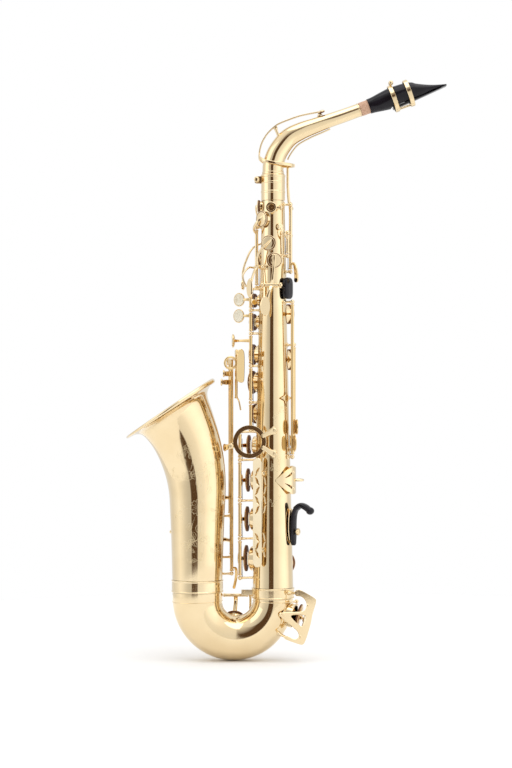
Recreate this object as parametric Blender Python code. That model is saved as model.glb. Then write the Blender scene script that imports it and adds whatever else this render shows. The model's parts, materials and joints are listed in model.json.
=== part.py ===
# An alto saxophone, modelled as the separate pieces it comes apart into.
# Design frame, in millimetres: the body tube stands on the Z axis, the bell is
# towards -X, the player is towards +X, and Z is 0 at the lowest point of the bow.
# World frame, in metres: the same directions, with the origin at the strap ring.

import math

import bmesh
import bpy
from mathutils import Matrix, Vector

# ---- driving dimensions, in millimetres ----
BODY_TOP = 537.0
BODY_FOOT = 85.3
BODY_TOP_RADIUS = 12.9
BODY_TAPER = 0.02394
WALL = 1.2

BOW_RADIUS = 44.2
BOW_CENTRE_X = -44.2
BOW_CENTRE_Z = 70.2
BOW_BODY_SIDE_TOP = 72.3
BOW_BELL_SIDE_TOP = 79.6
BOW_TUBE_RADII = (23.6, 26.0, 29.3)

BELL_X = -88.4
BELL_FOOT = 94.6
BELL_BEND_FROM = 189.5
BELL_BEND_RADIUS = 189.0
BELL_TILT = math.radians(33.6)
# (distance from the rim along the axis, outer radius)
BELL_PROFILE = ((0, 61.8), (1.6, 57.0), (4.5, 49.5), (9, 44.8), (19, 42.0), (36, 39.3),
                (70, 36.0), (105, 33.1), (150, 31.0), (206, 29.4))

TUBE_SIDES = 20
HOLE_SIDES = 12
BELL_SIDES = 24
ROD_SIDES = 7
CUP_SIDES = 12
BOW_STEPS = 9

STRAP_RING = Vector((30.0, 0.0, 210.6))
CHIMNEY_HEIGHT = 3.0
PAD_GAP = 0.4
GAP = 0.3

UPPER_ROD = (-26.0, -7.0)
LOWER_ROD = (-38.6, -10.5)
ROD_RADIUS = 1.9
POST_BALL = 2.2

# name: (angle round the body, height, hole radius, cup radius), angle 0 faces -Y and -90 faces -X
TONE_HOLES = {
    "front_F": (-95, 531.0, 4.6, 7.4),
    "palm_F": (-50, 515.0, 6.6, 9.6),
    "palm_Eb": (-17, 486.7, 6.4, 9.2),
    "palm_D": (4, 466.5, 6.4, 9.2),
    "high_E": (-145, 470.0, 6.8, 9.8),
    "C": (-125, 421.0, 5.6, 8.5),
    "B": (-125, 395.5, 7.0, 10.0),
    "A": (-125, 357.5, 9.2, 12.3),
    "G": (-125, 325.0, 10.6, 13.8),
    "G_sharp": (-125, 288.0, 8.8, 11.8),
    "F_sharp": (-110, 250.8, 9.4, 12.4),
    "F": (-110, 210.0, 11.0, 14.0),
    "E": (-110, 164.4, 12.0, 15.0),
    "D": (-110, 118.2, 12.6, 15.6),
    "low_Eb": (150, 112.0, 11.0, 13.8),
    "side_C": (120, 405.0, 8.6, 11.8),
    "side_Bb": (120, 351.5, 9.2, 12.4),
}
SMALL_HOLES = ("front_F", "palm_F", "palm_Eb", "palm_D", "high_E")

# ---- finishes: colour, metallic, roughness ----
FINISHES = {
    "lacquer": ((0.83, 0.62, 0.30, 1.0), 1.0, 0.16),
    "ebonite": ((0.012, 0.012, 0.013, 1.0), 0.0, 0.22),
    "cork": ((0.62, 0.42, 0.29, 1.0), 0.0, 0.8),
}


def remove_everything():
    for existing in list(bpy.data.objects):
        bpy.data.objects.remove(existing, do_unlink=True)


def finish(name, kind):
    colour, metallic, roughness = FINISHES[kind]
    material = bpy.data.materials.new(name + "_" + kind)
    material.use_nodes = True
    shader = material.node_tree.nodes["Principled BSDF"]
    shader.inputs["Base Color"].default_value = colour
    shader.inputs["Metallic"].default_value = metallic
    shader.inputs["Roughness"].default_value = roughness
    material.diffuse_color = colour
    return material


# ---- solids: each function gives a closed bmesh in the design frame ----

def skin(rings, closed=False):
    """A closed skin over rings of points, capped at both ends or joined end to end."""
    mesh = bmesh.new()
    loops = [[mesh.verts.new(point) for point in ring] for ring in rings]
    count = len(rings[0])
    pairs = list(zip(loops, loops[1:]))
    if closed:
        pairs.append((loops[-1], loops[0]))
    for low, high in pairs:
        for i in range(count):
            j = (i + 1) % count
            mesh.faces.new((low[i], low[j], high[j], high[i]))
    if not closed:
        mesh.faces.new(list(reversed(loops[0])))
        mesh.faces.new(loops[-1])
    bmesh.ops.recalc_face_normals(mesh, faces=mesh.faces)
    if mesh.calc_volume(signed=True) < 0:
        bmesh.ops.reverse_faces(mesh, faces=mesh.faces)
    return mesh


def circle(centre, axis, radius, segments, start=None):
    axis = Vector(axis).normalized()
    side = Vector(start) if start else axis.orthogonal()
    side = (side - axis * side.dot(axis)).normalized()
    other = axis.cross(side)
    points = []
    for i in range(segments):
        turn = 2 * math.pi * i / segments
        points.append(Vector(centre) + (side * math.cos(turn) + other * math.sin(turn)) * radius)
    return points


def turned(profile, base, axis, segments=16, closed=False):
    """A solid of revolution from (radius, height) pairs along an axis."""
    axis = Vector(axis).normalized()
    side = axis.orthogonal()
    rings = [circle(Vector(base) + axis * height, axis, radius, segments, side)
             for radius, height in profile]
    return skin(rings, closed)


def rod(start, end, radius, segments=8):
    start = Vector(start)
    axis = Vector(end) - start
    return turned(((radius, 0.0), (radius, axis.length)), start, axis, segments)


def tangents(points):
    result = []
    for i in range(len(points)):
        ahead = points[min(i + 1, len(points) - 1)]
        behind = points[max(i - 1, 0)]
        result.append((ahead - behind).normalized())
    return result


def pipe(points, radii, segments=10, side=(0, 1, 0), axes=None):
    """A solid round bar along a path."""
    points = [Vector(p) for p in points]
    axes = axes or tangents(points)
    return skin([circle(p, a, r, segments, side) for p, a, r in zip(points, axes, radii)])


def bar(points, width, thickness, across):
    """A flat bar along a path; `across` is the direction of its width."""
    points = [Vector(p) for p in points]
    if not hasattr(width, "__len__"):
        width = [width] * len(points)
    rings = []
    for point, axis, wide in zip(points, tangents(points), width):
        flat = Vector(across)
        flat = (flat - axis * flat.dot(axis)).normalized()
        up = axis.cross(flat)
        corners = ((-1, -1), (1, -1), (1, 1), (-1, 1))
        rings.append([point + flat * (a * wide / 2) + up * (b * thickness / 2) for a, b in corners])
    return skin(rings)


def slab(outline, origin, u, v, thickness):
    """A flat plate: an outline in the u-v plane, given its thickness along u x v."""
    u = Vector(u).normalized()
    v = Vector(v).normalized()
    lift = u.cross(v).normalized() * thickness
    low = [Vector(origin) + u * a + v * b for a, b in outline]
    return skin([low, [point + lift for point in low]])


def ellipse(wide, tall, count=16):
    return [(wide * math.cos(2 * math.pi * i / count), tall * math.sin(2 * math.pi * i / count))
            for i in range(count)]


def ring(centre, axis, major, minor, segments=24, section=8):
    centre = Vector(centre)
    rings = []
    for spoke in circle((0, 0, 0), axis, 1.0, segments):
        tangent = Vector(axis).normalized().cross(spoke)
        rings.append(circle(centre + spoke * major, tangent, minor, section, spoke))
    return skin(rings, closed=True)


# ---- making nodes ----

def to_world(point):
    return (Vector(point) - STRAP_RING) * 0.001


def node(name, solids, kind="lacquer", cuts=(), pivot=None, axis=None, angle=0.0, smooth=35):
    """Unite the solids, take the cuts away, and place the piece with its origin at its pivot."""
    pivot = Vector(pivot if pivot is not None else STRAP_RING)
    base = bpy.data.objects.new(name, bpy.data.meshes.new(name))
    solids[0].to_mesh(base.data)
    bpy.context.scene.collection.objects.link(base)
    for operation, group in (("UNION", solids[1:]), ("DIFFERENCE", list(cuts))):
        if not group:
            continue
        helpers = bpy.data.collections.new(name + "_" + operation)
        bpy.context.scene.collection.children.link(helpers)
        for solid in group:
            helper_mesh = bpy.data.meshes.new("helper")
            solid.to_mesh(helper_mesh)
            helpers.objects.link(bpy.data.objects.new("helper", helper_mesh))
        modifier = base.modifiers.new(operation, "BOOLEAN")
        modifier.operation = operation
        modifier.solver = "EXACT"
        modifier.operand_type = "COLLECTION"
        modifier.collection = helpers
        evaluated = base.evaluated_get(bpy.context.evaluated_depsgraph_get())
        united = bpy.data.meshes.new_from_object(evaluated)
        base.modifiers.clear()
        base.data = united
        for helper in list(helpers.objects):
            bpy.data.objects.remove(helper, do_unlink=True)
        bpy.data.collections.remove(helpers)
    mesh = bmesh.new()
    mesh.from_mesh(base.data)
    bmesh.ops.remove_doubles(mesh, verts=mesh.verts, dist=0.002)
    bmesh.ops.dissolve_degenerate(mesh, edges=mesh.edges, dist=0.002)
    for vert in mesh.verts:
        vert.co = (vert.co - pivot) * 0.001
    mesh.to_mesh(base.data)
    mesh.free()
    base.data.name = name
    base.data.shade_smooth()
    base.data.set_sharp_from_angle(angle=math.radians(smooth))
    base.data.materials.clear()
    base.data.materials.append(finish(name, kind))
    base.location = to_world(pivot)
    if axis is not None and angle:
        base.rotation_euler = Matrix.Rotation(math.radians(angle), 3, Vector(axis)).to_euler()
    return base


# ---- the body's own geometry ----

def body_radius(height):
    return BODY_TOP_RADIUS + (BODY_TOP - height) * BODY_TAPER


def outward(angle):
    turn = math.radians(angle)
    return Vector((math.sin(turn), -math.cos(turn), 0.0))


def around(angle, distance, height):
    return outward(angle) * distance + Vector((0, 0, height))


def chimney_height(name):
    return 2.0 if name in SMALL_HOLES else CHIMNEY_HEIGHT


def cup_base(name):
    """The middle of a closed pad's face, just above the rim of its tone hole."""
    angle, height, _, _ = TONE_HOLES[name]
    return around(angle, body_radius(height) + chimney_height(name) + PAD_GAP, height)


def cup_solid(base, direction, radius, thickness=4.4, segments=CUP_SIDES):
    profile = ((radius, 0), (radius, thickness * 0.7), (radius * 0.8, thickness))
    return turned(profile, base, direction, segments)


def post(x, y, height):
    """A post with a ball top, standing on the body and carrying a rod at (x, y)."""
    out = Vector((x, y, 0.0))
    reach = out.length
    foot = body_radius(height) - 0.6
    profile = ((2.6, foot), (1.4, foot + 2.2), (1.4, reach - 2.0),
               (POST_BALL, reach - 0.9), (POST_BALL, reach + 0.9), (1.1, reach + 2.1))
    return turned(profile, (0, 0, height), out, 6)


# ---- fixed pieces ----

UPPER_POSTS = (433.6, 409.0, 381.8, 344.0, 301.4, 269.6)
LOWER_POSTS = (267.2, 234.4, 187.0, 142.8, 97.0)
OCTAVE_ROD = (20.5, -3.0)
BODY_OCTAVE_ROD = (17.0, -12.5)
SIDE_C_ROD = (22.5, -11.5)
SIDE_BB_ROD = (24.5, -5.0)
HIGH_E_ROD = (4.0, 25.0)
PALM_F_ROD = (-19.2, 4.8)
FRONT_F_ROD = (-8.0, 18.0)
EB_ROD = (4.0, 34.5)
LOW_C_LEVER_ROD = (-6.0, 36.5)
LOW_C_ROD = (28.0, 21.0)
BB_ROD = (-50.5, 27.5)
B_ROD = (-49.0, 20.5)
CS_ROD = (-48.5, 13.5)
GS_LEVER_ROD = (-43.0, 6.0)

BODY_POSTS = (
    [UPPER_ROD + (z,) for z in UPPER_POSTS]
    + [LOWER_ROD + (z,) for z in LOWER_POSTS]
    + [OCTAVE_ROD + (z,) for z in (532.5, 454.0)]
    + [BODY_OCTAVE_ROD + (z,) for z in (472.0, 499.0)]
    + [SIDE_C_ROD + (z,) for z in (418.5, 238.0)]
    + [SIDE_BB_ROD + (z,) for z in (368.5, 246.0)]
    + [HIGH_E_ROD + (z,) for z in (487.0, 242.0)]
    + [PALM_F_ROD + (z,) for z in (506.5, 436.0)]
    + [FRONT_F_ROD + (z,) for z in (519.0, 484.0)]
    + [EB_ROD + (z,) for z in (92.0, 190.0)]
    + [LOW_C_LEVER_ROD + (z,) for z in (98.0, 196.0)]
)


def body_tube():
    cone = pipe([(0, 0, BODY_FOOT), (0, 0, BODY_TOP)],
                [body_radius(BODY_FOOT), body_radius(BODY_TOP)], TUBE_SIDES)
    bore = pipe([(0, 0, BODY_FOOT - 5), (0, 0, BODY_TOP + 5)],
                [body_radius(BODY_FOOT - 5) - WALL, body_radius(BODY_TOP + 5) - WALL], TUBE_SIDES)
    solids = [cone]
    cuts = [bore]
    for name, (angle, height, hole, _) in TONE_HOLES.items():
        top = body_radius(height) + chimney_height(name)
        solids.append(rod(around(angle, 4, height), around(angle, top, height), hole + 1.3, HOLE_SIDES))
        cuts.append(rod(around(angle, 0, height), around(angle, top + 3, height), hole, HOLE_SIDES))
    vent = around(28, body_radius(506.0) + 2.0, 506.0)
    solids.append(rod(around(28, 5, 506.0), vent, 2.6, 10))
    cuts.append(rod(around(28, 0, 506.0), around(28, 20, 506.0), 1.0, 8))
    for x, y, height in BODY_POSTS:
        solids.append(post(x, y, height))
    for x, z in ((-12.6, 437.8), (8.6, 437.8)):
        solids.append(turned(((2.4, 10.0), (1.5, 15.5), (1.5, 18.5), (2.2, 20.0), (2.2, 22.0), (1.0, 23.2)),
                             (x, 0, z), (0, -1, 0), 8))
    for side in (-1, 1):
        tip = PALM_EB_PIVOT + PALM_EB_AXIS * (side * 8.6)
        solids.append(turned(((2.2, 10.0), (1.4, 15.0), (1.4, 18.0), (2.1, 20.0), (2.1, 21.8), (1.0, 22.8)),
                             (0, 0, tip.z), (tip.x, tip.y, 0), 8))
    node("body_tube", solids, cuts=cuts)


def neck_receiver():
    solids = [turned(((13.9, BODY_TOP + GAP), (13.9, 546.0), (14.3, 546.6), (14.3, 548.2), (13.9, 548.8),
                      (13.9, 557.6), (14.4, 558.2), (14.4, 567.0), (13.8, 567.8), (12.3, 567.8),
                      (12.3, BODY_TOP + GAP)), (0, 0, 0), (0, 0, 1), TUBE_SIDES, closed=True)]
    for y in (-3.4, 3.4):
        solids.append(slab(((-21.4, -3.4), (-13.0, -4.2), (-13.0, 4.2), (-21.4, 3.4)),
                           (0, y + 1.1, 561.6), (1, 0, 0), (0, 0, 1), 2.2))
    slot = slab(((-24, -8), (-8, -8), (-8, 8), (-24, 8)), (0, 0.9, 561.6), (1, 0, 0), (0, 0, 1), 1.8)
    screw_hole = rod((-19.0, -20, 561.6), (-19.0, 20, 561.6), 1.5, 10)
    node("neck_receiver", solids, cuts=[slot, screw_hole])


def receiver_screw():
    solids = [rod((-19.0, 5.2, 561.6), (-19.0, -5.6, 561.6), 1.15, 10),
              turned(((2.2, 0), (3.4, 0.8), (3.4, 2.2), (2.4, 3.4)), (-19.0, -5.4, 561.6), (0, -1, 0), 12)]
    node("receiver_screw", solids, pivot=(-19.0, -5.4, 561.6))


def bow_point(angle):
    """A point on the bow's centre line: 0 degrees is the body side, 180 the bell side."""
    turn = math.radians(angle)
    return Vector((BOW_CENTRE_X + BOW_RADIUS * math.cos(turn), 0,
                   BOW_CENTRE_Z - BOW_RADIUS * math.sin(turn)))


def bow_tangent(angle):
    turn = math.radians(angle)
    return Vector((-math.sin(turn), 0, -math.cos(turn)))


def bow_radius(angle):
    body_side, bottom, bell_side = BOW_TUBE_RADII
    if angle <= 90:
        return body_side + (bottom - body_side) * angle / 90
    return bottom + (bell_side - bottom) * (angle - 90) / 90


LOW_C_OUT = Vector((0.93, -0.28, -0.24)).normalized()
LOW_C_CENTRE = bow_point(15)
LOW_CS_OUT = Vector((0.0, math.cos(math.radians(35)), math.sin(math.radians(35))))
LOW_CS_CENTRE = bow_point(92)
LOW_C_HOLE = 12.6
LOW_CS_CHIMNEY = 4.2
LOW_CS_HOLE = 10.4


def bow():
    angles = [180 * i / BOW_STEPS for i in range(BOW_STEPS + 1)]
    points = [Vector((0, 0, BOW_BODY_SIDE_TOP))] + [bow_point(a) for a in angles]
    points.append(Vector((2 * BOW_CENTRE_X, 0, BOW_BELL_SIDE_TOP)))
    axes = [Vector((0, 0, -1))] + [bow_tangent(a) for a in angles] + [Vector((0, 0, 1))]
    radii = [BOW_TUBE_RADII[0]] + [bow_radius(a) for a in angles] + [BOW_TUBE_RADII[2]]
    outside = pipe(points, radii, TUBE_SIDES, axes=axes)
    longer = [points[0] + Vector((0, 0, 4))] + points[1:-1] + [points[-1] + Vector((0, 0, 4))]
    inside = pipe(longer, [r - WALL for r in radii], TUBE_SIDES, axes=axes)
    low_c_top = LOW_C_CENTRE + LOW_C_OUT * (bow_radius(15) + 4.0)
    low_cs_top = LOW_CS_CENTRE + LOW_CS_OUT * (bow_radius(92) + LOW_CS_CHIMNEY)
    solids = [outside,
              rod(LOW_C_CENTRE, low_c_top, LOW_C_HOLE + 1.3, HOLE_SIDES),
              rod(LOW_CS_CENTRE, low_cs_top, LOW_CS_HOLE + 1.3, HOLE_SIDES)]
    for x in (-61.5, -26.5):
        solids.append(pipe([(x, 13, 48), (x, 30, 66), (x, 34.5, 72.5)], [1.8, 1.6, 2.3], 6, side=(1, 0, 0)))
    for z in (44.0, 66.5):
        solids.append(pipe([(6, 14, z), (24, 19, z), LOW_C_ROD + (z,)], [2.0, 1.6, 2.3], 6, side=(0, 0, 1)))
    cuts = [inside,
            rod(LOW_C_CENTRE, low_c_top + LOW_C_OUT * 3, LOW_C_HOLE, HOLE_SIDES),
            rod(LOW_CS_CENTRE, low_cs_top + LOW_CS_OUT * 3, LOW_CS_HOLE, HOLE_SIDES)]
    node("bow", solids, cuts=cuts)


def ferrules():
    low = BOW_BODY_SIDE_TOP + GAP
    high = BODY_FOOT - GAP
    profile = ((22.2, low), (24.8, low), (25.0, low + 1), (24.6, low + 1.6), (24.6, high - 1.6),
               (25.0, high - 1), (24.8, high), (22.2, high))
    block = slab(((-37, 3.6), (-23, 3.6), (-23, 9.8), (-37, 9.8)), (0, -3, low), (1, 0, 0), (0, 0, 1), -6)
    node("body_bow_ferrule", [turned(profile, (0, 0, 0), (0, 0, 1), TUBE_SIDES, closed=True), block])
    low = BOW_BELL_SIDE_TOP + GAP
    high = BELL_FOOT - GAP
    profile = ((28.0, low), (30.2, low), (30.5, low + 1), (30.0, low + 1.8), (30.0, high - 1.8),
               (30.5, high - 1), (30.2, high), (28.0, high))
    node("bell_bow_ferrule", [turned(profile, (BELL_X, 0, 0), (0, 0, 1), TUBE_SIDES, closed=True)])


def bell_axis(from_rim):
    """The point on the bell's axis at a distance from the rim, and the axis direction there."""
    from_bend = BELL_BEND_RADIUS * BELL_TILT - from_rim
    if from_bend <= 0:
        return Vector((BELL_X, 0, BELL_BEND_FROM + from_bend)), Vector((0, 0, 1))
    turn = from_bend / BELL_BEND_RADIUS
    centre_x = BELL_X - BELL_BEND_RADIUS
    point = Vector((centre_x + BELL_BEND_RADIUS * math.cos(turn), 0,
                    BELL_BEND_FROM + BELL_BEND_RADIUS * math.sin(turn)))
    return point, Vector((-math.sin(turn), 0, math.cos(turn)))


def bell_radius(from_rim):
    for (near, near_radius), (far, far_radius) in zip(BELL_PROFILE, BELL_PROFILE[1:]):
        if from_rim <= far:
            return near_radius + (far_radius - near_radius) * (from_rim - near) / (far - near)
    return BELL_PROFILE[-1][1]


BELL_LENGTH = BELL_BEND_RADIUS * BELL_TILT + BELL_BEND_FROM - BELL_FOOT
LOW_B_HEIGHT = 138.0
LOW_BB_HEIGHT = 188.0
BELL_HOLES = ((LOW_B_HEIGHT, 16.2, 19.6), (LOW_BB_HEIGHT, 16.8, 20.4))
BELL_CHIMNEY_TOP = 35.0


def bell_ring(from_rim, radius, segments):
    centre, axis = bell_axis(from_rim)
    return circle(centre, axis, radius, segments, (0, 1, 0))


def bell():
    stations = [d for d, _ in BELL_PROFILE[:-1]] + [BELL_LENGTH]
    outer = [bell_ring(d, bell_radius(d) if d else 61.2, BELL_SIDES) for d in stations]
    inner = [bell_ring(max(d, 0.6), bell_radius(d) - (WALL if d > 3 else 3.2), BELL_SIDES)
             for d in stations]
    lip = [bell_ring(-1.6, 60.6, BELL_SIDES), bell_ring(-1.6, 59.0, BELL_SIDES)]
    roll = [bell_ring(2.0, 60.9, BELL_SIDES), bell_ring(0.2, 61.8, BELL_SIDES)]
    rings = list(reversed(outer[1:])) + roll + lip + inner[1:]
    solids = [skin(rings, closed=True)]
    cuts = []
    for height, hole, _ in BELL_HOLES:
        solids.append(turned(((hole + 1.3, 28.0), (hole + 1.3, BELL_CHIMNEY_TOP),
                              (hole, BELL_CHIMNEY_TOP), (hole, 28.0)),
                             (BELL_X, 0, height), (0, 1, 0), 18, closed=True))
        cuts.append(rod((BELL_X, 18, height), (BELL_X, 40, height), hole, 18))
    for x, y, height in BELL_POSTS:
        foot = Vector((BELL_X, 0, height))
        out = Vector((x, y, height)) - foot
        solids.append(turned(((2.4, 28.8), (2.4, 31.4), (1.4, 32.2), (1.4, out.length - 2.2),
                              (2.2, out.length - 0.9), (2.2, out.length + 0.9), (1.1, out.length + 2.1)),
                             foot, out, 6))
    node("bell", solids, cuts=cuts)


BELL_POSTS = (
    [BB_ROD + (z,) for z in (167.0,)]
    + [B_ROD + (z,) for z in (119.0,)]
    + [CS_ROD + (z,) for z in (100.0,)]
)


def bell_brace():
    centre = Vector((-27.3, -24.0, 256.0))
    solids = [ring(centre, (0, 1, 0), 17.6, 1.9, 20, 6)]
    solids.append(bar([(-43.5, -24, 252), (-50, -22.5, 250), (-55.6, -15, 249)], 7.0, 2.4, (0, 0, 1)))
    for z, lean in ((269.0, 4.5), (242.0, -4.5)):
        solids.append(bar([(-13.8, -24, 256 + lean * 1.6), (-6, -24.4, z - lean * 0.4), (1.2, -21.9, z)],
                          6.0, 2.4, (0, 0, 1)))
    node("bell_brace", solids)


def strap_ring():
    """A plate bent round the back of the body, and the loop that the strap hooks into."""
    rings = []
    for angle, distance, half in ((8, 21.15, 1.2), (22, 21.8, 6.0), (40, 23.6, 12.0), (58, 25.4, 16.0),
                                  (76, 25.8, 15.6),
                                  (90, 25.6, 14.0), (104, 25.8, 15.6), (122, 25.4, 16.0), (140, 23.6, 12.0),
                                  (158, 21.8, 6.0), (172, 21.15, 1.2)):
        inner = around(angle, distance, STRAP_RING.z)
        outer = around(angle, distance + 1.4, STRAP_RING.z)
        up = Vector((0, 0, half))
        rings.append([inner - up, outer - up, outer + up, inner + up])
    loop = [(25.9, -7.6), (30.0, -7.4), (33.6, -5.4), (35.0, 0.0), (33.6, 5.4), (30.0, 7.4), (25.9, 7.6)]
    solids = [skin(rings), pipe([(x, y, STRAP_RING.z) for x, y in loop], [1.5] * len(loop), 8,
                                side=(0, 0, 1))]
    cuts = []
    for angle in (42, 138):
        for side in (-1, 1):
            hole = [(-5.0, side * 2.2), (6.5, side * 4.4), (6.5, side * 11.5)]
            centre = around(angle, 18.0, STRAP_RING.z)
            cuts.append(slab(hole, centre, outward(angle + 90), (0, 0, 1), 12))
    node("strap_ring", solids, cuts=cuts)


HOOK_ANGLE = 63
HOOK_THICK = 5.0
HOOK_PLATE_AT = 22.95
HOOK_AT = HOOK_PLATE_AT + 1.0 + GAP + HOOK_THICK / 2
HOOK_SCREW_AT = HOOK_AT + HOOK_THICK / 2 + GAP


def thumb_hook():
    out = outward(HOOK_ANGLE)
    reach = outward(82)
    across = outward(HOOK_ANGLE + 90)
    path = ((0.0, 138), (0.0, 160), (0.8, 171), (3.8, 178.4), (8.6, 181.4), (14.0, 179.6), (20.6, 174.0))
    points = [out * HOOK_AT + reach * distance + Vector((0, 0, z)) for distance, z in path]
    hole = rod(out * 20 + Vector((0, 0, 151)), out * 36 + Vector((0, 0, 151)), 2.0, 10)
    node("thumb_hook", [bar(points, [10, 12, 12, 12, 13, 14, 11], HOOK_THICK, across)], "ebonite",
         cuts=[hole])
    plate = ellipse(7.0, 20.5, 16)
    node("thumb_hook_plate", [slab(plate, out * HOOK_PLATE_AT + Vector((0, 0, 157.6)), across, (0, 0, 1),
                                   1.0)])
    base = out * HOOK_SCREW_AT + Vector((0, 0, 151))
    node("thumb_hook_screw", [rod(base - out * 5.4, base + out * 3.0, 1.6, 10),
                              turned(((3.0, 1.2), (4.1, 2.0), (4.1, 3.6), (3.0, 5.0)), base, out, 14)],
         pivot=base)


def thumb_rest():
    out = outward(62)
    base = out * 16.1 + Vector((0, 0, 433.0))
    solids = [turned(((7.6, 0.4), (9.0, 1.4), (9.3, 4.6), (8.4, 6.0), (5.0, 6.9)), base, out, 18)]
    node("thumb_rest", solids, "ebonite")


def lyre_holder():
    out = outward(-6)
    side = outward(84)
    base = out * (body_radius(528.0) + GAP) + Vector((0, 0, 528.0))
    solids = [turned(((5.0, 0.0), (5.8, 1.2), (5.8, 7.6), (6.4, 8.2), (6.4, 9.6), (5.6, 10.0)), base, out,
                     16),
              rod(base + out * 5.0, base + out * 5.0 + side * 9.0, 2.4, 10)]
    bore = rod(base + out * 1.4, base + out * 14.0, 4.1, 14)
    screw_hole = rod(base + out * 5.0 + side * 2.0, base + out * 5.0 + side * 12.0, 1.4, 8)
    node("lyre_holder", solids, cuts=[bore, screw_hole])
    head = base + out * 5.0 + side * 9.5
    node("lyre_screw", [rod(head - side * 4.0, head + side * 1.0, 1.0, 8),
                        turned(((2.4, 0), (3.2, 0.8), (3.2, 2.4), (2.2, 3.4)), head, side, 12)], pivot=head)


def clothes_guard():
    out = outward(-36)
    u = outward(54)
    origin = out * 30.5 + Vector((0, 0, 174.0))
    outline = [(6.2, -60), (3.6, -63.5), (-3.6, -63.5), (-6.2, -60), (-6.2, 60), (-3.6, 63.5), (3.6, 63.5),
               (6.2, 60)]
    solids = [slab(outline, origin, u, (0, 0, 1), 1.3)]
    cuts = []
    for z in (46, 32, 18, 4, -34, -46):
        slot = [(-3.0, z - 4.5), (0.2, z - 3.5), (3.0, z + 4.5), (-0.2, z + 3.0)]
        cuts.append(slab(slot, origin - out * 3, u, (0, 0, 1), 8))
    node("clothes_guard", solids, cuts=cuts)


def guard_feet():
    """The pillar screws that hold the clothes guard off the body, one at each end."""
    for name, z in (("clothes_guard_pillar_top", 219.0), ("clothes_guard_pillar_bottom", 130.0)):
        out = outward(-36)
        start = body_radius(z) + GAP
        base = Vector((0, 0, z))
        node(name, [turned(((3.0, start), (3.0, start + 1.2), (1.7, start + 2.0), (1.7, 28.4), (2.6, 28.8),
                            (2.6, 30.5 - GAP)), base, out, 10)])


# the guard's front plate, seen square on, as (x, z): a band with two open loops and a V between them
GUARD_FRONT = ((24.6, 81.9), (29.3, 84.8), (36.3, 81.9), (48.0, 74.9), (49.7, 70.2), (45.6, 56.2),
               (43.3, 44.5), (37.4, 25.7), (33.9, 21.1), (28.1, 22.2), (15.2, 26.9), (12.0, 30.2),
               (16.4, 31.0), (24.0, 27.6), (28.6, 28.8), (29.4, 33.4), (26.4, 38.2), (18.8, 44.6),
               (9.0, 52.8), (8.4, 56.6), (12.4, 58.4), (32.8, 59.4), (37.2, 62.4), (38.6, 67.0), (36.8, 73.0),
               (31.8, 76.8), (26.6, 77.4))
GUARD_TRIANGLE = ((20.6, 54.4), (37.0, 54.8), (36.4, 48.0), (32.2, 42.6))
GUARD_FRONT_Y = -25.0
GUARD_THICK = 1.6


def guard_stem(tube_centre, tube_radius, tip):
    """A stem from just clear of a tube's surface to the guard's front plate."""
    tube_centre = Vector(tube_centre)
    tip = Vector(tip)
    out = (tip - tube_centre).normalized()
    return rod(tube_centre + out * (tube_radius + GAP), tip + out * 0.4, 1.7)


def low_c_guard():
    centre = LOW_C_CENTRE + LOW_C_OUT * (bow_radius(15) + 17.5)
    u = Vector((0, 0, 1)).cross(LOW_C_OUT).normalized()
    v = LOW_C_OUT.cross(u).normalized()
    outline = [(-8, 19), (4, 21), (11, 17), (8.5, 6), (7.5, -6), (9, -20), (2, -24), (-7, -23), (-9, -10),
               (-7, 0), (-9, 10)]
    solids = [slab(outline, centre, u, v, GUARD_THICK)]
    cuts = [slab([(a, b + shift) for a, b in ellipse(5.2, 6.8, 14)], centre - LOW_C_OUT * 3, u, v, 8)
            for shift in (9.5, -11.0)]
    front = (0, GUARD_FRONT_Y, 0)
    solids.append(slab(GUARD_FRONT, front, (1, 0, 0), (0, 0, 1), GUARD_THICK))
    cuts.append(slab(GUARD_TRIANGLE, (0, GUARD_FRONT_Y + 2, 0), (1, 0, 0), (0, 0, 1), 8))
    for x, z, inner_y in ((40.2, 66.0, -17.5), (31.4, 29.5, -15.0)):
        solids.append(bar([(x, GUARD_FRONT_Y - 0.8, z), (x, inner_y, z)], 5.0, 2.2, (0, 0, 1)))
    solids.append(guard_stem((0, 0, 79.0), 25.0, (27.0, GUARD_FRONT_Y, 80.6)))
    solids.append(guard_stem(bow_point(20), bow_radius(20), (11.0, GUARD_FRONT_Y, 55.4)))
    solids.append(guard_stem(bow_point(42), bow_radius(42), (15.6, GUARD_FRONT_Y, 29.0)))
    node("low_C_guard", solids, cuts=cuts)


def bell_key_guard():
    """A plate on three pillars over the two big bell cups, with a bumper over each."""
    level = 54.0
    solids = [bar([(BELL_X, level, 109), (BELL_X, level, 138), (BELL_X, level, 162.6), (BELL_X, level, 188),
                   (BELL_X, level, 217)], [7, 10, 7, 10, 7], 2.0, (1, 0, 0))]
    for height, start in ((112.0, 30.4), (162.6, 32.0), (214.0, 35.4)):
        solids.append(turned(((2.8, start), (2.8, start + 1.2), (1.8, start + 2.2), (1.8, level)),
                             (BELL_X, 0, height), (0, 1, 0), 8))
    for height, _, _ in BELL_HOLES:
        solids.append(turned(((4.4, 49.6), (4.8, 50.2), (4.8, level)), (BELL_X, 0, height), (0, 1, 0), 12))
    node("bell_key_guard", solids)


# ---- the neck and mouthpiece ----

NECK_PATH = ((0, 576.0, 12.3), (1.2, 583.0, 12.2), (6.2, 595.5, 11.8), (17.9, 610.5, 11.2),
             (32.8, 618.9, 10.2), (49.0, 625.0, 9.1), (65.3, 630.9, 8.2), (84.2, 637.4, 7.9),
             (101.5, 643.7, 7.7))
NECK_TENON_FOOT = 545.0
NECK_END = Vector((101.5, 0, 643.7))
NECK_AXIS = Vector((math.cos(math.radians(20)), 0, math.sin(math.radians(20))))
NECK_HINGE = Vector((3.0, 0, 622.5))


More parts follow.
